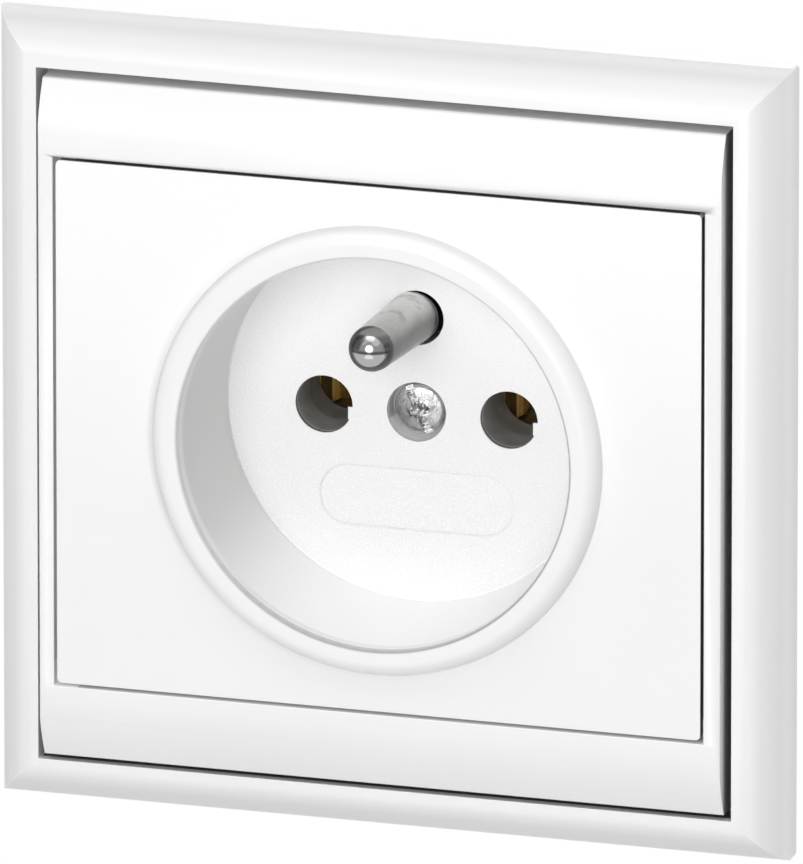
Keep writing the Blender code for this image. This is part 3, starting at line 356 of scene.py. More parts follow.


# middle frame: painted shade on the flanks towards the outer frame, on a line at the top edge, on the
# lowest faces and on the walls round the plate

middleSizes = {
    "side": 34.9 * mm,
    "high": 34.7 * mm,
    "low": 35.0 * mm,
    "skin": 0.04 * mm,  # the layer that counts as a wall of the outside
    "grain": 3600,
    "grainShade": (0.86, 0.25),  # the painted shade's least, and what the noise adds
    "flankFrom": (-7.7 * mm, -5.1 * mm),
    "flankShade": (0.03, 0.74),
    "flankFoot": (-5.2 * mm, -4.4 * mm),
    "footShade": 0.2,
    "belowShade": 0.9,
    "edge": 0.08 * mm,
    "edgeReach": 0.12 * mm,
    "edgeShade": 0.2,
    "innerSide": 33.3 * mm,
    "innerHigh": 27.2 * mm,
    "innerSkin": 0.06 * mm,
    "innerShade": 0.92,
    "leftLess": 0.62,
    "leftWidth": 4 * mm,
    "lowLess": 0.45,
    "lowHeight": 10 * mm,
}


def middleShade(f, x, y, z):
    sizes = middleSizes
    across = abs(x) > sizes["side"] - sizes["skin"]
    below = (z < sizes["skin"] - sizes["low"]) * sizes["belowShade"]
    # a noise makes the painted shade on the flanks uneven
    least, share = sizes["grainShade"]
    grain = least + f.noise(sizes["grain"], 2, 0.6) * share
    flank = f.span(y, *sizes["flankFrom"], *sizes["flankShade"])
    flank = across * (flank + f.span(y, *sizes["flankFoot"], 0.0, sizes["footShade"])) * grain
    edge = f.band(z, sizes["high"] - sizes["edge"], sizes["edgeReach"]) * sizes["edgeShade"]
    innerSide = abs(x) < sizes["innerSide"] + sizes["innerSkin"]
    inner = innerSide * (abs(z) < sizes["innerHigh"] + sizes["innerSkin"])
    left = x < sizes["leftWidth"] - sizes["side"]
    low = z < sizes["lowHeight"] - sizes["high"]
    inner = inner * (sizes["innerShade"] - sizes["leftLess"] * left) * (1 - sizes["lowLess"] * low)
    return flank.high(below).high(edge).high(inner)


# centre plate: painted shade at its edges, on a line round the mouth, at the ring's foot, on the well's
# wall towards the left, and in the screw's recess and the pin bores

plateSizes = {
    "side": 33.0 * mm,
    "high": 26.9 * mm,
    "skin": 0.03 * mm,  # the layer that counts as an edge of the plate
    "level": -8.1 * mm,
    "edgeFade": (0.05 * mm, 0.3 * mm),  # behind the plate's level
    "edgeShade": (0.2, 0.95),
    "topShare": 0.92,
    "farShare": 0.4,  # of the left and low edges
    "mouth": 20.12 * mm,
    "crest": -9.2 * mm,
    "lineOut": 0.05 * mm,
    "lineReach": 0.22 * mm,
    "lineWay": (0.6, -0.8),  # x and z of the side where it is darkest
    "lineTurn": (-0.6, 0.7),
    "lineShade": (0.2, 0.62),
    "ringFoot": 23.1 * mm,
    "footReach": 0.8 * mm,
    "footWay": (-0.86, 0.5),
    "footTurn": (-0.9, 1.0),
    "footShade": (0.02, 0.26),
    "floorRadius": 19.3 * mm,
    "wellStart": 1.0 * mm,  # behind the crest
    "wellTurn": (0.1, 0.95),
    "wellShade": 0.17,
    "lowTurn": (0.4, 0.95),
    "lowWhite": (0.99, 0.99, 0.99),
    "upperFrom": (-10 * mm, 26 * mm),
    "upperReach": 0.3 * mm,
    "upperLight": 0.75,
    "upperWhite": (0.97, 0.97, 0.968),
    "recess": 3.08 * mm,
    "recessStart": 5.26 * mm,
    "recessShade": 0.36,
    "pinSpan": 9.5 * mm,
    "boreReach": 3.1 * mm,
    "boreStart": 5.33 * mm,
    "boreShade": 0.85,
}


def plateShade(f, x, y, z):
    sizes = plateSizes
    # painted shade: each mask below darkens a place where shade falls, some of them more on one side
    out = f.hypot(x, z)
    side, high = sizes["side"] - sizes["skin"], sizes["high"] - sizes["skin"]
    start, full = sizes["edgeFade"]
    edge = (x > side).high((z > high) * sizes["topShare"])
    edge = edge.high((x < -side).high(z < -high) * sizes["farShare"])
    edge = edge * f.span(y, sizes["level"] + start, sizes["level"] + full, *sizes["edgeShade"])
    acrossWay, upWay = sizes["lineWay"]
    line = f.band(out, sizes["mouth"] + sizes["lineOut"], sizes["lineReach"]) * (y < sizes["crest"])
    line = line * f.span((x * acrossWay + z * upWay) / out, *sizes["lineTurn"], *sizes["lineShade"])
    acrossWay, upWay = sizes["footWay"]
    foot = f.band(out, sizes["ringFoot"], sizes["footReach"]) * (y < 0.0)
    foot = foot * f.span((x * acrossWay + z * upWay) / out, *sizes["footTurn"], *sizes["footShade"])
    well = wellWall(sizes, y, out) * f.span(-x / out, *sizes["wellTurn"], 0.0, sizes["wellShade"])
    sunk = (out < sizes["recess"]) * (y > sizes["recessStart"]) * sizes["recessShade"]
    bore = f.hypot(abs(x) - sizes["pinSpan"], z) < sizes["boreReach"]
    bore = bore * (y > sizes["boreStart"]) * sizes["boreShade"]
    return edge.high(line).high(foot).high(well).high(sunk).high(bore)


def wellWall(sizes, y, out):
    return (out > sizes["floorRadius"]) * (out < sizes["mouth"]) * (y > sizes["crest"] + sizes["wellStart"])


# the well's floor is spark finished, with painted glints, and with the line of a label field: a ridge with
# a painted highlight on it and a painted shadow beside it

floorSizes = {
    "front": 4.9 * mm,
    "back": 5.9 * mm,
    "upperFrom": (-4 * mm, 10 * mm),
    "lowFrom": (2 * mm, 15 * mm),
    "lowShade": 0.12,
    "roughness": 0.12,  # added to the plate's
    "sparkGrain": 4200.0,
    "sparkDepth": 0.03 * mm,
    "glintGrain": 5200,
    "glintFrom": (0.56, 0.68),
    "glint": 0.5,
    "pitTo": (0.32, 0.44),
    "pit": 0.1,
    "fieldHeight": -9.1 * mm,
    "fieldHalf": 6.85 * mm,
    "fieldRadius": 3.05 * mm,
    "lineReach": 0.11 * mm,
    "lineLight": 0.5,
    "lineDepth": 0.05 * mm,
    "shadowOut": 0.14 * mm,
    "shadowReach": 0.1 * mm,
    "shadow": 0.12,
    "white": (0.98, 0.98, 0.98),
    "grey": (0.5, 0.5, 0.5),
}


def plateDetailAndLight(f, x, y, z, colour, rough, normal):
    sizes, floor = plateSizes, floorSizes
    out = f.hypot(x, z)
    # painted light on the well's low wall and on the upper parts of the plate's face and of the floor, and
    # painted shade on the floor, darker towards its bottom
    low = wellWall(sizes, y, out) * f.span(-z / out, *sizes["lowTurn"])
    colour = f.mix(low, colour, sizes["lowWhite"])
    inside = (y > floor["front"]) * (y < floor["back"])
    upper = f.span(z, *sizes["upperFrom"]) * f.band(y, sizes["level"], sizes["upperReach"])
    upper = upper.high(inside * f.span(z, *floor["upperFrom"]))
    colour = f.mix(upper * sizes["upperLight"], colour, sizes["upperWhite"])
    colour = f.mix(inside * f.span(-z, *floor["lowFrom"]) * floor["lowShade"], colour, floor["grey"])

    # painted glints on the spark finish, and darker pits
    glint = f.noise(floor["glintGrain"], 1, 0.5)
    colour = f.mix(f.span(glint, *floor["glintFrom"]) * inside * floor["glint"], colour, floor["white"])
    colour = f.mix(f.fade(glint, *floor["pitTo"]) * inside * floor["pit"], colour, floor["grey"])
    beyond = (abs(x) - floor["fieldHalf"]).high(0.0)
    reach = f.hypot(beyond, z - floor["fieldHeight"]) - floor["fieldRadius"]
    line = f.band(reach, 0.0, floor["lineReach"]) * inside
    # painted highlight on the field's line, and a painted shadow beside it
    colour = f.mix(line * floor["lineLight"], colour, floor["white"])
    shadow = f.band(reach, floor["shadowOut"], floor["shadowReach"]) * inside
    colour = f.mix(shadow * floor["shadow"], colour, floor["grey"])
    spark = f.noise(floor["sparkGrain"], 1, 0.5)
    normal = f.bump(spark * inside, floor["sparkDepth"], normal)
    return colour, rough + inside * floor["roughness"], f.bump(line, floor["lineDepth"], normal)


# plastics of the cover and the base, and metals

graphiteSizes = {
    "first": (0.33, 0.325, 0.32),
    "second": (0.50, 0.495, 0.48),
    "clouds": (260, 4, 0.6),
    "cloudRange": (0.3, 0.72),
    "flecks": (2600, 2, 0.6),
    "fleckDepth": 0.008 * mm,
    "roughness": 0.5,
    "fleckRoughness": 0.2,
}
creamSizes = {
    "first": (0.74, 0.71, 0.63),
    "second": (0.79, 0.77, 0.70),
    "clouds": (90, 4, 0.5),
    "cloudRange": (0.35, 0.65),
    "flecks": (1800, 3, 0.6),
    "fleckDepth": 0.012 * mm,
    "roughness": 0.45,
    "fleckRoughness": 0.15,
}


def plainPlastic(name, sizes):
    f = Finish(name)
    cloud, fleck = f.noise(*sizes["clouds"]), f.noise(*sizes["flecks"])
    colour = f.mix(f.span(cloud, *sizes["cloudRange"]), sizes["first"], sizes["second"])
    rough = sizes["roughness"] + (fleck - 0.5) * sizes["fleckRoughness"]
    return f.surface(Base_Color=colour, Roughness=rough, Normal=f.bump(fleck, sizes["fleckDepth"]))


metalSizes = {
    "clouds": 240,
    "cloudRoughness": 0.12,
    "streakRoughness": 0.16,
    "streakDepth": 0.004 * mm,
}
brassSizes = {
    **metalSizes,
    "light": (0.92, 0.68, 0.22),
    "dark": (0.70, 0.48, 0.13),
    "roughness": 0.42,
    "streaks": 1400,
    "stretch": (1, 1, 0.2),
    "polish": 0.55,
}
zincSizes = {
    **metalSizes,
    "light": (0.62, 0.63, 0.64),
    "dark": (0.46, 0.47, 0.49),
    "roughness": 0.30,
    "streaks": 900,
    "stretch": (1, 1, 1),
    "polish": 1.0,
}
springSizes = {
    **metalSizes,
    "light": (0.42, 0.42, 0.44),
    "dark": (0.30, 0.30, 0.32),
    "roughness": 0.32,
    "streaks": 1600,
    "stretch": (1, 1, 0.2),
    "polish": 1.0,
}


def metal(name, sizes):
    f = Finish(name)
    cloud = f.noise(sizes["clouds"], 3)
    streak = f.noise(sizes["streaks"], 3, 0.6, f.place(sizes["stretch"]))
    colour = f.mix(f.span(cloud, 0.35, 0.7), sizes["light"], sizes["dark"])
    rough = sizes["roughness"] + (cloud - 0.5) * sizes["cloudRoughness"]
    rough = rough + (streak - 0.5) * sizes["streakRoughness"]
    normal = f.bump(streak, sizes["streakDepth"])
    return f.surface(Base_Color=colour, Roughness=rough, Metallic=sizes["polish"], Normal=normal)


# brass of the contacts, with a painted shadow over a strip of each leaf and a painted highlight along the
# strip's edge

leafSizes = {
    "light": (0.95, 0.66, 0.17),
    "dark": (0.78, 0.44, 0.07),
    "edgeHighlight": (0.98, 0.86, 0.55),
    "shadowTone": (0.05, 0.035, 0.02),
    "pinSpan": 9.5 * mm,
    "shadow": -2.46 * mm,  # across, from the plug pin's middle
    "shadowFade": 0.05 * mm,
    "shadowShare": 0.9,
    "reach": -3.3 * mm,  # where the shadow ends
    "front": 17.4 * mm,
    "edgeOut": 0.07 * mm,
    "edgeReach": 0.08 * mm,
    "edgeShare": 0.7,
    "clouds": 600,
    "streaks": 1500,
    "stretch": (1, 1, 0.2),
    "streakDepth": 0.004 * mm,
    "roughness": 0.45,
    "cloudRoughness": 0.12,
    "streakRoughness": 0.16,
    "polish": 0.2,
}


def leafBrass(name, sizes):
    f = Finish(name)
    x, y = f.axes()[:2]
    aside = x - (2 * (x > 0.0) - 1) * sizes["pinSpan"]
    cloud = f.noise(sizes["clouds"], 3)
    streak = f.noise(sizes["streaks"], 3, 0.6, f.place(sizes["stretch"]))
    colour = f.mix(f.span(cloud, 0.35, 0.65), sizes["light"], sizes["dark"])
    near = y < sizes["front"]
    # painted highlight on a line along the edge of the painted shadow
    edge = f.band(aside, sizes["shadow"] + sizes["edgeOut"], sizes["edgeReach"]) * near
    colour = f.mix(edge * sizes["edgeShare"], colour, sizes["edgeHighlight"])
    # painted shadow over a strip of the leaf
    beyond = f.fade(aside, sizes["shadow"] - sizes["shadowFade"], sizes["shadow"])
    beyond = beyond * (aside > sizes["reach"]) * near
    colour = f.mix(beyond * sizes["shadowShare"], colour, sizes["shadowTone"])
    rough = sizes["roughness"] + (cloud - 0.5) * sizes["cloudRoughness"]
    rough = rough + (streak - 0.5) * sizes["streakRoughness"]
    normal = f.bump(streak, sizes["streakDepth"])
    return f.surface(Base_Color=colour, Roughness=rough, Metallic=sizes["polish"], Normal=normal)


finishes = {
    "outerFrame": whitePlastic("outerFrameWhite", whiteSizes, frameShade, framePaintedLight),
    "middleFrame": whitePlastic("middleFrameWhite", whiteSizes, middleShade),
    "centrePlate": whitePlastic("centrePlateWhite", whiteSizes, plateShade, plateDetailAndLight),
    "graphite": plainPlastic("graphitePlastic", graphiteSizes),
    "cream": plainPlastic("creamPlastic", creamSizes),
    "leaf": leafBrass("leafBrass", leafSizes),
    "brass": metal("contactBrass", brassSizes),
    "zinc": metal("zincPlate", zincSizes),
    "spring": metal("springSteel", springSizes),
}
print("finishes made:", len(finishes))


# pieces: each stands for a solid of the frame, with its shading or its form refined

def rest(piece, node, finish):
    piece.data.materials.clear()
    piece.data.materials.append(finishes[finish])
    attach(piece, "root")
    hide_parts(node)


def boxOf(node):
    spots = [v.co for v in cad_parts[node].data.vertices]
    low, high = [Vector([pick(v[i] for v in spots) for i in range(3)]) for pick in (min, max)]
    return low, high, (low + high) / 2


def meshOf(name, shape):
    mesh = bpy.data.meshes.new(name)
    shape.to_mesh(mesh)
    shape.free()
    piece = bpy.data.objects.new(name, mesh)
    scene.collection.objects.link(piece)
    return piece


def shaded(piece, angle):
    piece.data.shade_smooth()
    piece.data.set_sharp_from_angle(angle=math.radians(angle))
    return piece


mouldSizes = {
    "weld": 0.001 * mm,
    "flat": 0.5,  # degrees, under which neighbouring faces become one
    "facing": -0.999,  # of a normal that looks to the front
    "levelReach": 0.15 * mm,
}
mouldings = {
    "outer_frame": {"finish": "outerFrame", "angle": 13},
    "middle_frame": {"finish": "middleFrame", "angle": 40},
    "centre_plate": {"finish": "centrePlate", "angle": 40, "level": 5.2 * mm},
    "contact_cover": {"finish": "graphite"},
    "socket_base": {"finish": "cream"},
    "line_contact": {"finish": "leaf"},
    "neutral_contact": {"finish": "leaf"},
    "line_contact_clip": {"finish": "spring"},
    "neutral_contact_clip": {"finish": "spring"},
    "line_clamp": {"finish": "zinc"},
    "neutral_clamp": {"finish": "zinc"},
    "earth_clamp": {"finish": "zinc"},
    "earth_strap": {"finish": "brass"},
    "mounting_bridge": {"finish": "zinc"},
    "left_rivet": {"finish": "zinc"},
    "right_rivet": {"finish": "zinc"},
}


def pieceName(node):
    first, *others = node.split("_")
    return first + "".join(word.title() for word in others)


def flatten(piece, level, sizes):  # the floor at that level keeps clear of the curve at its foot
    for face in piece.data.polygons:
        if face.normal.y < sizes["facing"] and abs(face.center.y - level) < sizes["levelReach"]:
            face.use_smooth = False


def moulded(node, sizes, finish, angle=32, level=None):
    shape = bmesh.new()
    shape.from_mesh(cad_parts[node].data)
    bmesh.ops.remove_doubles(shape, verts=shape.verts, dist=sizes["weld"])
    flat = math.radians(sizes["flat"])
    bmesh.ops.dissolve_limit(shape, angle_limit=flat, verts=shape.verts, edges=shape.edges)
    piece = shaded(meshOf(pieceName(node), shape), angle)
    if level:
        flatten(piece, level, sizes)
    even = piece.modifiers.new("shading", "WEIGHTED_NORMAL")
    even.keep_sharp = True
    rest(piece, node, finish)


for node, choices in mouldings.items():
    moulded(node, mouldSizes, **choices)
print("moulded pieces made:", len(mouldings))


# earth pin: turned, with a round tip, a shank that widens to its foot, and a riveted tail

pinSizes = {
    "tipRadius": 2.3 * mm,
    "footRadius": 2.7 * mm,
    "neckRadius": 1.7 * mm,
    "neckHeight": 1.6 * mm,
    "tailRadius": 2.45 * mm,
    "tailEnd": 2.2 * mm,
    "tailHeight": 1.0 * mm,
    "tailGap": 0.15 * mm,
    "tailChamfer": 0.1 * mm,
    "tipGap": 0.03 * mm,
    "lift": 0.28 * mm,  # the tip stands a little high
    "footAside": 0.1 * mm,
    "footDown": 0.03 * mm,
    "backZone": 0.4 * mm,  # of the solid, whose middle gives the foot's place
    "weld": 0.0001 * mm,
    "steps": 72,
    "domeSteps": 20,
    "sharp": 50,
}
pinMarks = {  # painted reflections, painted light and shade, and marks of its finish, with places in tip radii where there is no mm
    "blotches": (420, 5, 0.62),
    "flecks": (3000, 2, 0.6),
    "fleckDepth": 0.0025 * mm,
    "floor": 5.2 * mm,
    "sunkFrom": (-0.1 * mm, 0.05 * mm),  # from the floor, as the next one
    "footFrom": (-0.5 * mm, -0.3 * mm),
    "footShare": 0.6,
    "uneven": 0.5,
    "lightFrom": (0.1, 1.05),
    "lowTo": (-0.95, -0.3),
    "blotchFrom": (0.5, 0.66),
    "blotchShare": 0.35,
    "polishAside": 0.30 * mm,  # the polished face and its painted reflections sit a little off the axis
    "polishUp": 0.42 * mm,
    "faceDepth": 0.98,
    "rimFrom": (0.76, 0.82),
    "horizon": (-0.22, -0.1),
    "line": (-0.13, 0.12),
    "lineShare": 0.93,
    "skyFrom": (0.4, 0.6),
    "arcOut": (0.3, 0.42),
    "arcLeft": (-0.3, -0.1),
    "arcLow": (-0.1, 0.0),
    "arcHigh": (0.5, 0.62),
    "arcShare": 0.85,
    "spotRight": (0.52, 0.64),
    "spot": (0.12, 0.22),
    "spotShare": 0.7,
    "roughness": 0.36,
    "blotchRoughness": 0.2,
    "fleckRoughness": 0.1,
    "faceSmoother": 0.22,
    "rimRougher": 0.05,
}
# colours of the pin's painted reflections, painted light and shade, and blotches
pinTones = {
    "shank": (0.19, 0.19, 0.188),
    "shankLight": (0.72, 0.72, 0.71),
    "shankLow": (0.46, 0.46, 0.45),
    "blotch": (0.17, 0.17, 0.168),
    "foot": (0.95, 0.95, 0.94),
    "faceLow": (0.44, 0.44, 0.435),
    "face": (0.25, 0.25, 0.248),
    "faceHigh": (0.46, 0.46, 0.455),
    "line": (0.05, 0.05, 0.049),
    "spot": (0.08, 0.08, 0.078),
    "rim": (0.12, 0.12, 0.118),
    "sunk": (0.012, 0.012, 0.012),
}


def turned(name, line, sizes):  # turns a line of (radius, height) about Z, closed at both ends
    shape = bmesh.new()
    ring = [shape.verts.new((r, 0, z)) for r, z in line]
    edges = [shape.edges.new(pair) for pair in zip(ring, ring[1:])]
    bmesh.ops.spin(
        shape, geom=ring + edges, axis=(0, 0, 1), cent=(0, 0, 0), angle=math.tau, steps=sizes["steps"])
    bmesh.ops.remove_doubles(shape, verts=shape.verts, dist=sizes["weld"])
    bmesh.ops.recalc_face_normals(shape, faces=shape.faces)
    return meshOf(name, shape)


def pinLine(sizes, reach):  # half the pin's outline, from the tip to the tail
    r, neck, tail = sizes["tipRadius"], sizes["neckRadius"], sizes["tailRadius"]
    line = [(0, reach)]
    for i in range(1, sizes["domeSteps"] + 1):
        a = math.pi / 2 * i / sizes["domeSteps"]
        line.append((r * math.sin(a), reach - r + r * math.cos(a)))
    low, gap = sizes["tailHeight"], sizes["tailGap"]
    top = low + sizes["neckHeight"]
    line += [(sizes["footRadius"], top), (neck, top), (neck, low), (tail, low)]
    return line + [(tail, gap + sizes["tailChamfer"]), (sizes["tailEnd"], gap), (0, gap)]


def earthPin(sizes, marks, tones):
    high, centre = boxOf("earth_pin")[1:]
    spots = [v.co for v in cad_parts["earth_pin"].data.vertices]
    front = min(spots, key=lambda v: v.y)
    tip = Vector((front.x, front.y + sizes["tipGap"], centre.z + sizes["lift"]))
    back = [v for v in spots if v.y > high.y - sizes["backZone"]]
    middle = sum(v.x for v in back) / len(back)
    foot = Vector((middle + sizes["footAside"], high.y, centre.z - sizes["footDown"]))
    axis = (tip - foot).normalized()
    pin = turned("earthPin", pinLine(sizes, (tip - foot).length), sizes)
    turn = axis.to_track_quat("Z", "Y").to_matrix().to_4x4()
    pin.data.transform(Matrix.Translation(foot) @ turn)
    finishes["nickel"] = pinNickel("pinNickel", sizes["tipRadius"], marks, tones, tip, axis)
    rest(shaded(pin, sizes["sharp"]), "earth_pin", "nickel")


def pinNickel(name, r, marks, tones, tip, axis):
    f = Finish(name)
    x, y, z = f.axes()
    # along the pin, 0 at the tip and less behind it
    along = (x - tip.x) * axis.x + (y - tip.y) * axis.y + (z - tip.z) * axis.z
    side, rise = x - along * axis.x - tip.x, z - along * axis.z - tip.z
    aside, up = side - marks["polishAside"], rise - marks["polishUp"]
    off = f.hypot(aside, up) / r
    front = along > -r * marks["faceDepth"]
    rim = front * f.span(off, *marks["rimFrom"])
    face = front * (1 - rim)
    blotch, fleck = f.noise(*marks["blotches"]), f.noise(*marks["flecks"])

    # painted reflections on the shank: light above, darker in the middle and lighter below, made uneven by
    # blotches
    tall = rise / r + (blotch - 0.5) * marks["uneven"]
    shank = f.mix(f.span(tall, *marks["lightFrom"]), tones["shank"], tones["shankLight"])
    shank = f.mix(f.fade(tall, *marks["lowTo"]), shank, tones["shankLow"])
    shank = f.mix(f.span(blotch, *marks["blotchFrom"]) * marks["blotchShare"], shank, tones["blotch"])
    # painted light on the shank just above the floor
    low, high = [marks["floor"] + edge for edge in marks["footFrom"]]
    shank = f.mix(f.span(y, low, high) * marks["footShare"], shank, tones["foot"])

    # painted reflections on the polished face: light and dark bands, a dark arc and a dark spot
    wide, level = aside / r, up / r  # from the polished face's own middle
    dome = f.mix(f.span(level, *marks["horizon"]), tones["faceLow"], tones["face"])
    dome = f.mix(f.band(level, *marks["line"]) * marks["lineShare"], dome, tones["line"])
    dome = f.mix(f.span(level, *marks["skyFrom"]), dome, tones["faceHigh"])
    arc = f.span(off, *marks["arcOut"]) * f.fade(wide, *marks["arcLeft"]) * f.span(level, *marks["arcLow"])
    dome = f.mix(arc * f.fade(level, *marks["arcHigh"]) * marks["arcShare"], dome, tones["line"])
    spot = f.span(wide, *marks["spotRight"]) * f.band(level, *marks["spot"])
    dome = f.mix(spot * marks["spotShare"], dome, tones["spot"])

    # a painted dark reflection on the rim round the face
    colour = f.mix(rim, f.mix(face, shank, dome), tones["rim"])
    # painted shadow where the pin sinks into the floor
    low, high = [marks["floor"] + edge for edge in marks["sunkFrom"]]
    colour = f.mix(f.span(y, low, high), colour, tones["sunk"])
    rough = marks["roughness"] + (blotch - 0.5) * marks["blotchRoughness"]
    rough = rough + (fleck - 0.5) * marks["fleckRoughness"]
    rough = rough - face * marks["faceSmoother"] + rim * marks["rimRougher"]
    normal = f.bump(fleck, marks["fleckDepth"])
    return f.surface(Base_Color=colour, Roughness=rough, Metallic=1.0, Normal=normal)


earthPin(pinSizes, pinMarks, pinTones)
print("earth pin made")


# screws: a domed head with a slot and a cross, ribs at the slot's ends, on a threaded shank

screwValues = {
    "Head": 2.58 * mm,
    "Rim": 1.0 * mm,
    "Dome": 0.56 * mm,
    "Shank": 1.45 * mm,
    "Length": 8.3 * mm,
    "Plain": 1.6 * mm,
    "Pitch": 0.6 * mm,
    "Thread": 0.22 * mm,
    "Slot Width": 0.85 * mm,
    "Slot Depth": 0.72 * mm,
    "Slot Turn": math.radians(-65.0),
    "Cross Reach": 1.15 * mm,
    "Cross Width": 0.7 * mm,
    "Cross Depth": 1.0 * mm,
    "Rib Start": 1.5 * mm,
    "Rib Pitch": 0.26 * mm,
    "Rib Width": 0.11 * mm,
    "Rib Height": 0.75 * mm,
    "Ribs": 4,
}
terminalValues = {
    **screwValues,
    "Head": 2.64 * mm,
    "Rim": 1.4 * mm,
    "Dome": 0.36 * mm,
    "Shank": 1.5 * mm,
    "Length": 6.9 * mm,
    "Plain": 0.4 * mm,
}
terminalTurns = {"line_terminal_screw": 25.0, "neutral_terminal_screw": 80.0, "earth_terminal_screw": 135.0}
screwDetail = {
    "around": 72,
    "rimSteps": 3,
    "rings": 14,
    "crownFrom": 0.9,  # of the rim's height
    "edgeDrop": 0.25,  # of the dome's height, at the head's edge
    "edgeFrom": 0.9,  # of the head's radius
    "slotLength": 2.4,  # in head radii, so that it cuts right across
    "pitRadius": 0.8,  # of the cross's width
    "pitDepth": 2.5,  # of the cross's depth, half of it in the air
    "pitAround": 24,
    "ribWidth": 1.06,  # of the slot's width, so that a rib meets both walls
    "ribSink": 0.3,  # of the dome's height
    "shankAround": 40,
    "threadSteps": 8,
    "pointTaper": 0.45,
    "pointRidge": 0.3,
    "lift": 0.02 * mm,
    "sharp": 35,
}
screwTones = {
    "light": (0.56, 0.56, 0.56),
    "dark": (0.38, 0.38, 0.382),
    "rim": (0.80, 0.80, 0.80),
    "glare": (0.14, 0.14, 0.14),
    "tarnish": (0.27, 0.27, 0.27),
    "bright": (0.62, 0.62, 0.62),
    "pit": (0.07, 0.07, 0.07),
    "wall": (0.5, 0.5, 0.5),
    "slot": (0.24, 0.24, 0.24),
}
screwWearAndShading = {
    "clouds": (520, 4, 0.6),
    "patches": (1150, 4, 0.7),
    "tears": (2000, 3, 0.65),
    "chips": 3000,
    "lathe": (9000, 1200),  # scale of the turning tool's rings, outwards and along
    "slope": 170,  # how fast the painted light grows towards the upper right, per metre
    "uneven": 0.8,
    "lightFrom": (-0.35, 0.5),
    "patchFrom": (0.5, 0.62),
    "patchShare": 0.7,
    "rimFrom": (0.8, 0.9),  # of the head's radius
    "rimShare": 0.8,
    "wallFrom": 0.985,
    "wallShare": 0.8,
    "sunkFrom": (0.12 * mm, 0.42 * mm),
    "sunkTo": 0.97,
    "sunkShare": 0.85,
    "glareAside": 0.8 * mm,
    "glareUp": 0.9 * mm,
    "glareTo": (0.5 * mm, 1.8 * mm),
    "glareShare": 0.85,
    "tornTo": (0.8 * mm, 1.5 * mm),
    "brightFrom": (0.6, 0.7),
    "pitTo": (0.18, 0.3),
    "pitShare": 0.85,
    "roughness": 0.25,
    "cloudRoughness": 0.2,
    "latheRoughness": 0.14,
    "sunkRougher": 0.15,
    "latheDepth": 0.004 * mm,
    "patchDepth": 0.1 * mm,
    "tearDepth": 0.06 * mm,
}


def screwRecipe(values, detail):
    g = Recipe("screwRecipe", values)
    cap = slotted(g, detail, domed(g, detail))
    return g.close(g.joined(cap, threaded(g, detail), *slotRibs(g, detail)))


def domed(g, detail):
    head, rim, dome = [g.take(key) for key in ("Head", "Rim", "Dome")]
    blank = g.moved(g.rod(detail["around"], detail["rimSteps"], detail["rings"], head, rim), z=rim / 2)
    x, y, z = g.place()
    out = g.hypot(x, y) / head
    crown = dome * (1 - out * out) - dome * detail["edgeDrop"] * g.span(out, detail["edgeFrom"], 1.0)
    return g.shaped(blank, x, y, z + (z > rim * detail["crownFrom"]) * crown)


def slotted(g, detail, cap):
    head, turn, top = g.take("Head"), g.take("Slot Turn"), g.take("Rim") + g.take("Dome")
    reach, arm, deep = [g.take("Cross " + key) for key in ("Reach", "Width", "Depth")]
    slot = g.block(head * detail["slotLength"], g.take("Slot Width"), g.take("Slot Depth") * 2)
    along, across = g.block(reach * 2, arm, deep * 2), g.block(arm, reach * 2, deep * 2)
    pit = g.rod(detail["pitAround"], 1, 1, arm * detail["pitRadius"], deep * detail["pitDepth"])
    cutters = [g.moved(block, z=top, turn=turn) for block in (slot, along, across)]
    return g.cut(cap, *cutters, g.moved(pit, z=top))


def slotRibs(g, detail):
    dome, start, step = g.take("Dome"), g.take("Rib Start"), g.take("Rib Pitch")
    height = g.take("Rim") + dome - g.take("Slot Depth") - dome * detail["ribSink"]
    rib = g.block(g.take("Rib Width"), g.take("Slot Width") * detail["ribWidth"], g.take("Rib Height"))
    rows = [g.row(g.take("Ribs"), start * way, step * way, rib) for way in (1, -1)]
    return [g.moved(row, z=height, turn=g.take("Slot Turn")) for row in rows]


def threaded(g, detail):
    rim, shank, length = g.take("Rim"), g.take("Shank"), g.take("Length")
    plain, pitch = g.take("Plain"), g.take("Pitch")
    rows = g.calc("ROUND", length / pitch * detail["threadSteps"])
    rod = g.rod(detail["shankAround"], rows, 1, shank, length + rim / 2)
    rod = g.moved(rod, z=rim / 4 - length / 2)
    x, y, z = g.place()
    ridge = g.zigzag(z / pitch - g.calc("ARCTAN2", y, x) / math.tau)
    worked = g.span(z, -plain, -plain - pitch)
    point = g.span(z, -length + pitch, -length, 0.0, detail["pointTaper"])
    point = point * (1 - ridge * detail["pointRidge"])
    scale = 1 - worked * (ridge * g.take("Thread") / shank + point)
    return g.shaped(rod, x * scale, y * scale, z)


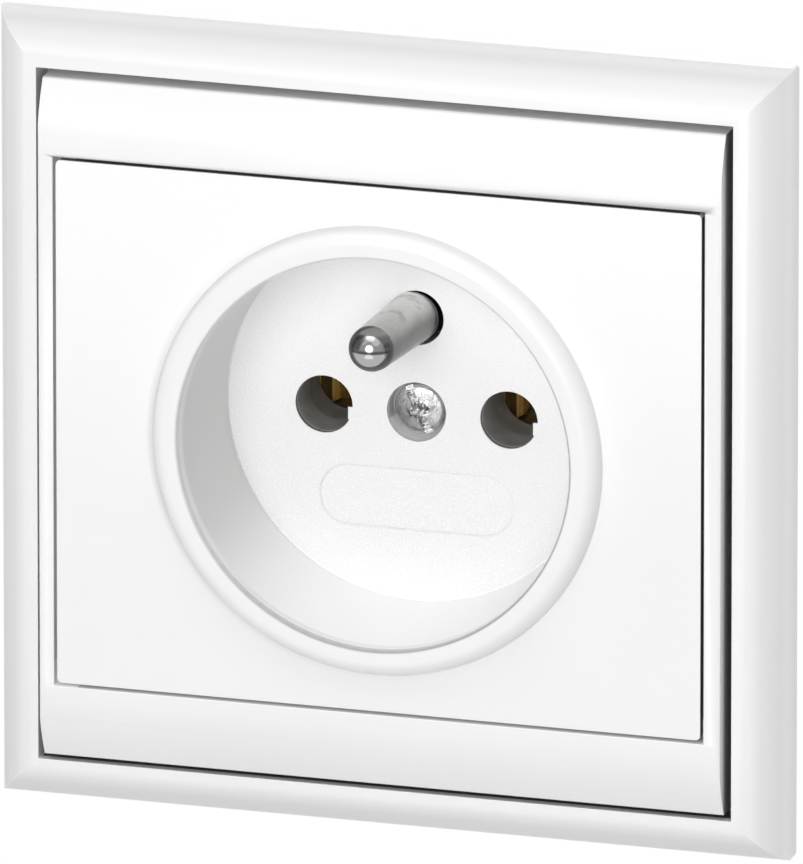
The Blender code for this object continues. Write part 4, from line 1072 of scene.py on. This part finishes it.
def screwZinc(name, values, tones, wear):  # the centre screw's worn head, with painted light towards the upper right and on the rim, and painted shade in the slot and over the front lamp's image
    low, _, centre = boxOf("centre_screw")
    head = values["Head"]
    f = Finish(name)
    x, y, z = f.axes()
    side, rise = x - centre.x, z - centre.z
    out = f.hypot(side, rise)
    crown = low.y + values["Dome"] * (out * out) / head ** 2
    sunk = f.span(y - crown, *wear["sunkFrom"]) * (out < head * wear["sunkTo"])
    cloud, patch, tear = f.noise(*wear["clouds"]), f.noise(*wear["patches"]), f.noise(*wear["tears"])
    outwardRings, alongRings = wear["lathe"]
    lathe = f.noise(1.0, 2, 0.6, f.join(out * outwardRings, y * alongRings, 0.0))
    cells = f.add("ShaderNodeTexVoronoi", {}, {"Vector": f.place(), "Scale": wear["chips"]}, take=1)
    chip = f.parts(cells)[0]

    # painted light, growing towards the upper right
    lit = (cloud - 0.5) * wear["uneven"] + (side + rise) * wear["slope"]
    colour = f.mix(f.span(lit, *wear["lightFrom"]), tones["dark"], tones["light"])
    colour = f.mix(f.span(patch, *wear["patchFrom"]) * wear["patchShare"], colour, tones["tarnish"])
    # painted light on the rim, and painted shade in the slot and the cross
    colour = f.mix(f.span(out / head, *wear["rimFrom"]) * wear["rimShare"], colour, tones["rim"])
    colour = f.mix((out > head * wear["wallFrom"]) * wear["wallShare"], colour, tones["wall"])
    colour = f.mix(sunk * wear["sunkShare"], colour, tones["slot"])
    glare = f.fade(f.hypot(side - wear["glareAside"], rise - wear["glareUp"]), *wear["glareTo"])
    colour = f.mix(glare * wear["glareShare"], colour, tones["glare"])  # painted shade that dims the front lamp's image
    torn = f.fade(out, *wear["tornTo"]).high(sunk)  # where screwdrivers slipped
    colour = f.mix(torn * f.span(chip, *wear["brightFrom"]), colour, tones["bright"])
    colour = f.mix(torn * f.fade(chip, *wear["pitTo"]) * wear["pitShare"], colour, tones["pit"])

    rough = wear["roughness"] + (cloud - 0.5) * wear["cloudRoughness"]
    rough = rough + (lathe - 0.5) * wear["latheRoughness"] + sunk * wear["sunkRougher"]
    normal = f.bump(patch, wear["patchDepth"], f.bump((tear + chip) * torn, wear["tearDepth"]))
    normal = f.bump(lathe, wear["latheDepth"], normal)
    return f.surface(Base_Color=colour, Roughness=rough, Metallic=1.0, Normal=normal)


def screwAt(node, group, values, detail, finish):
    low, _, centre = boxOf(node)
    piece = grown(pieceName(node), group, values, finishes[finish])
    top = values["Rim"] + values["Dome"] + detail["lift"]
    upright = Matrix.Rotation(math.pi / 2, 4, "X")  # the head towards the front
    piece.data.transform(Matrix.Translation((centre.x, low.y + top, centre.z)) @ upright)
    rest(shaded(piece, detail["sharp"]), node, finish)


screwGroup = screwRecipe(screwValues, screwDetail)
finishes["screwZinc"] = screwZinc("screwZinc", screwValues, screwTones, screwWearAndShading)
screwAt("centre_screw", screwGroup, screwValues, screwDetail, "screwZinc")
for node, degrees in terminalTurns.items():
    turnedValues = {**terminalValues, "Slot Turn": math.radians(degrees)}
    screwAt(node, screwGroup, turnedValues, screwDetail, "zinc")
print("screws made:", 1 + len(terminalTurns))


# threaded insert, knurled outside

insertValues = {
    "Radius": 2.38 * mm,
    "Bore": 1.72 * mm,
    "Length": 5.9 * mm,
    "Groove": 0.3 * mm,
    "Knurl": 0.12 * mm,
    "Ridges": 28.0,
    "Bore Thread": 0.16 * mm,
    "Bore Pitch": 0.6 * mm,
}
insertDetail = {
    "around": 224,
    "steps": 30,
    "waist": 0.18,  # of the length, each way from the middle, for the groove
    "boreAround": 48,
    "boreSteps": 80,
    "boreLength": 1.1,  # of the insert's, so that it cuts through
    "sharp": 30,
}


def insertRecipe(values, detail):
    g = Recipe("insertRecipe", values)
    radius, length = g.take("Radius"), g.take("Length")
    rod = g.rod(detail["around"], detail["steps"], 1, radius, length)
    x, y, z = g.place()
    tooth = g.zigzag(g.calc("ARCTAN2", y, x) / math.tau * g.take("Ridges"))
    waist = g.band(z, 0.0, length * detail["waist"])
    scale = 1 - (g.take("Knurl") * tooth * (1 - waist) + g.take("Groove") * waist) / radius
    outside = g.shaped(rod, x * scale, y * scale, z)

    bore, pitch = g.take("Bore"), g.take("Bore Pitch")
    core = g.rod(detail["boreAround"], detail["boreSteps"], 1, bore, length * detail["boreLength"])
    x, y, z = g.place()
    wave = g.zigzag(z / pitch - g.calc("ARCTAN2", y, x) / math.tau)
    scale = 1 + g.take("Bore Thread") * wave / bore
    return g.close(g.cut(outside, g.shaped(core, x * scale, y * scale, z)))


def threadedInsert(values, detail):
    insert = grown("threadedInsert", insertRecipe(values, detail), values, finishes["brass"])
    centre = boxOf("threaded_insert")[2]
    insert.data.transform(Matrix.Translation(centre) @ Matrix.Rotation(math.pi / 2, 4, "X"))
    rest(shaded(insert, detail["sharp"]), "threaded_insert", "brass")


threadedInsert(insertValues, insertDetail)
print("threaded insert made")


# floor, light and background

studio = {
    "floorLevel": -0.8,
    "floorSize": 12,
    "floorColour": (0.92, 0.92, 0.92),
    "ambient": 0.17,
    "lamps": {
        "front": {"azimuth": 2, "elevation": 12, "distance": 1.3, "size": 0.9, "power": 10.2},
        "overhead": {"azimuth": 0, "elevation": 69, "distance": 0.55, "size": 0.38, "power": 0.78},
        "upperRight": {"azimuth": 42, "elevation": 45, "distance": 1.3, "size": 0.9, "power": 1.8},
        "upperLeft": {"azimuth": -42, "elevation": 45, "distance": 1.3, "size": 0.9, "power": 1.2},
        "lower": {"azimuth": 0, "elevation": -32, "distance": 1.3, "size": 0.9, "power": 1.5},
        "right": {"azimuth": 104, "elevation": 5, "distance": 1.3, "size": 1.0, "power": 4.2},
        "left": {"azimuth": -104, "elevation": 5, "distance": 1.3, "size": 1.0, "power": 2.6},
        "under": {"azimuth": 180, "elevation": -78, "distance": 1.3, "size": 0.8, "power": 2.0},
        "behind": {"azimuth": 188, "elevation": 4, "distance": 1.3, "size": 0.9, "power": 5.5},
    },
}


def seenDirectly(nodes):  # 1 for rays that look straight, by a mirror or through glass
    path = nodes.add("ShaderNodeLightPath").socket.node
    names = ("Is Camera Ray", "Is Glossy Ray", "Is Transmission Ray")
    straight, mirrored, through = [Val(nodes, path.outputs[name]) for name in names]
    return straight.high(mirrored).high(through)


def makeFloor(sizes):
    f = Finish("floorPale")
    pale = f.add("ShaderNodeBsdfDiffuse", {}, {"Color": sizes["floorColour"]})
    white = f.add("ShaderNodeEmission", {}, {"Color": (1, 1, 1), "Strength": 1.0})
    above = f.add("ShaderNodeMixShader", {}, {0: seenDirectly(f), 1: pale, 2: white})
    under = f.add("ShaderNodeNewGeometry", take="Backfacing")
    clear = f.add("ShaderNodeBsdfTransparent")
    both = f.add("ShaderNodeMixShader", {}, {0: under, 1: above, 2: clear})  # clear from below
    f.tree.links.new(both.socket, f.output.inputs["Surface"])
    bpy.ops.mesh.primitive_plane_add(size=sizes["floorSize"], location=(0, 0, sizes["floorLevel"]))
    floor = bpy.context.object
    floor.name = "floor"
    floor.data.materials.append(f.material)


def makeLamp(name, sizes):
    lamp = bpy.data.lights.new(name, "AREA")
    lamp.shape, lamp.size, lamp.energy = "DISK", sizes["size"], sizes["power"]
    holder = bpy.data.objects.new(name, lamp)
    scene.collection.objects.link(holder)
    back = outwards(sizes["azimuth"], sizes["elevation"])
    holder.location = back * sizes["distance"]
    holder.rotation_euler = (-back).to_track_quat("-Z", "Y").to_euler()


def makeWorld(sizes):
    world = bpy.data.worlds.new("studio")
    scene.world = world
    world.use_nodes = True
    nodes = Nodes(world.node_tree)
    nodes.tree.nodes.clear()
    ambient = nodes.add("ShaderNodeBackground", {}, {"Color": (1, 1, 1), "Strength": sizes["ambient"]})
    white = nodes.add("ShaderNodeBackground", {}, {"Color": (1, 1, 1), "Strength": 1.0})
    both = nodes.add("ShaderNodeMixShader", {}, {0: seenDirectly(nodes), 1: ambient, 2: white})
    end = nodes.tree.nodes.new("ShaderNodeOutputWorld")
    nodes.tree.links.new(both.socket, end.inputs["Surface"])


makeFloor(studio)
makeWorld(studio)
for lampName, lampSizes in studio["lamps"].items():
    makeLamp(lampName, lampSizes)
print("studio made")
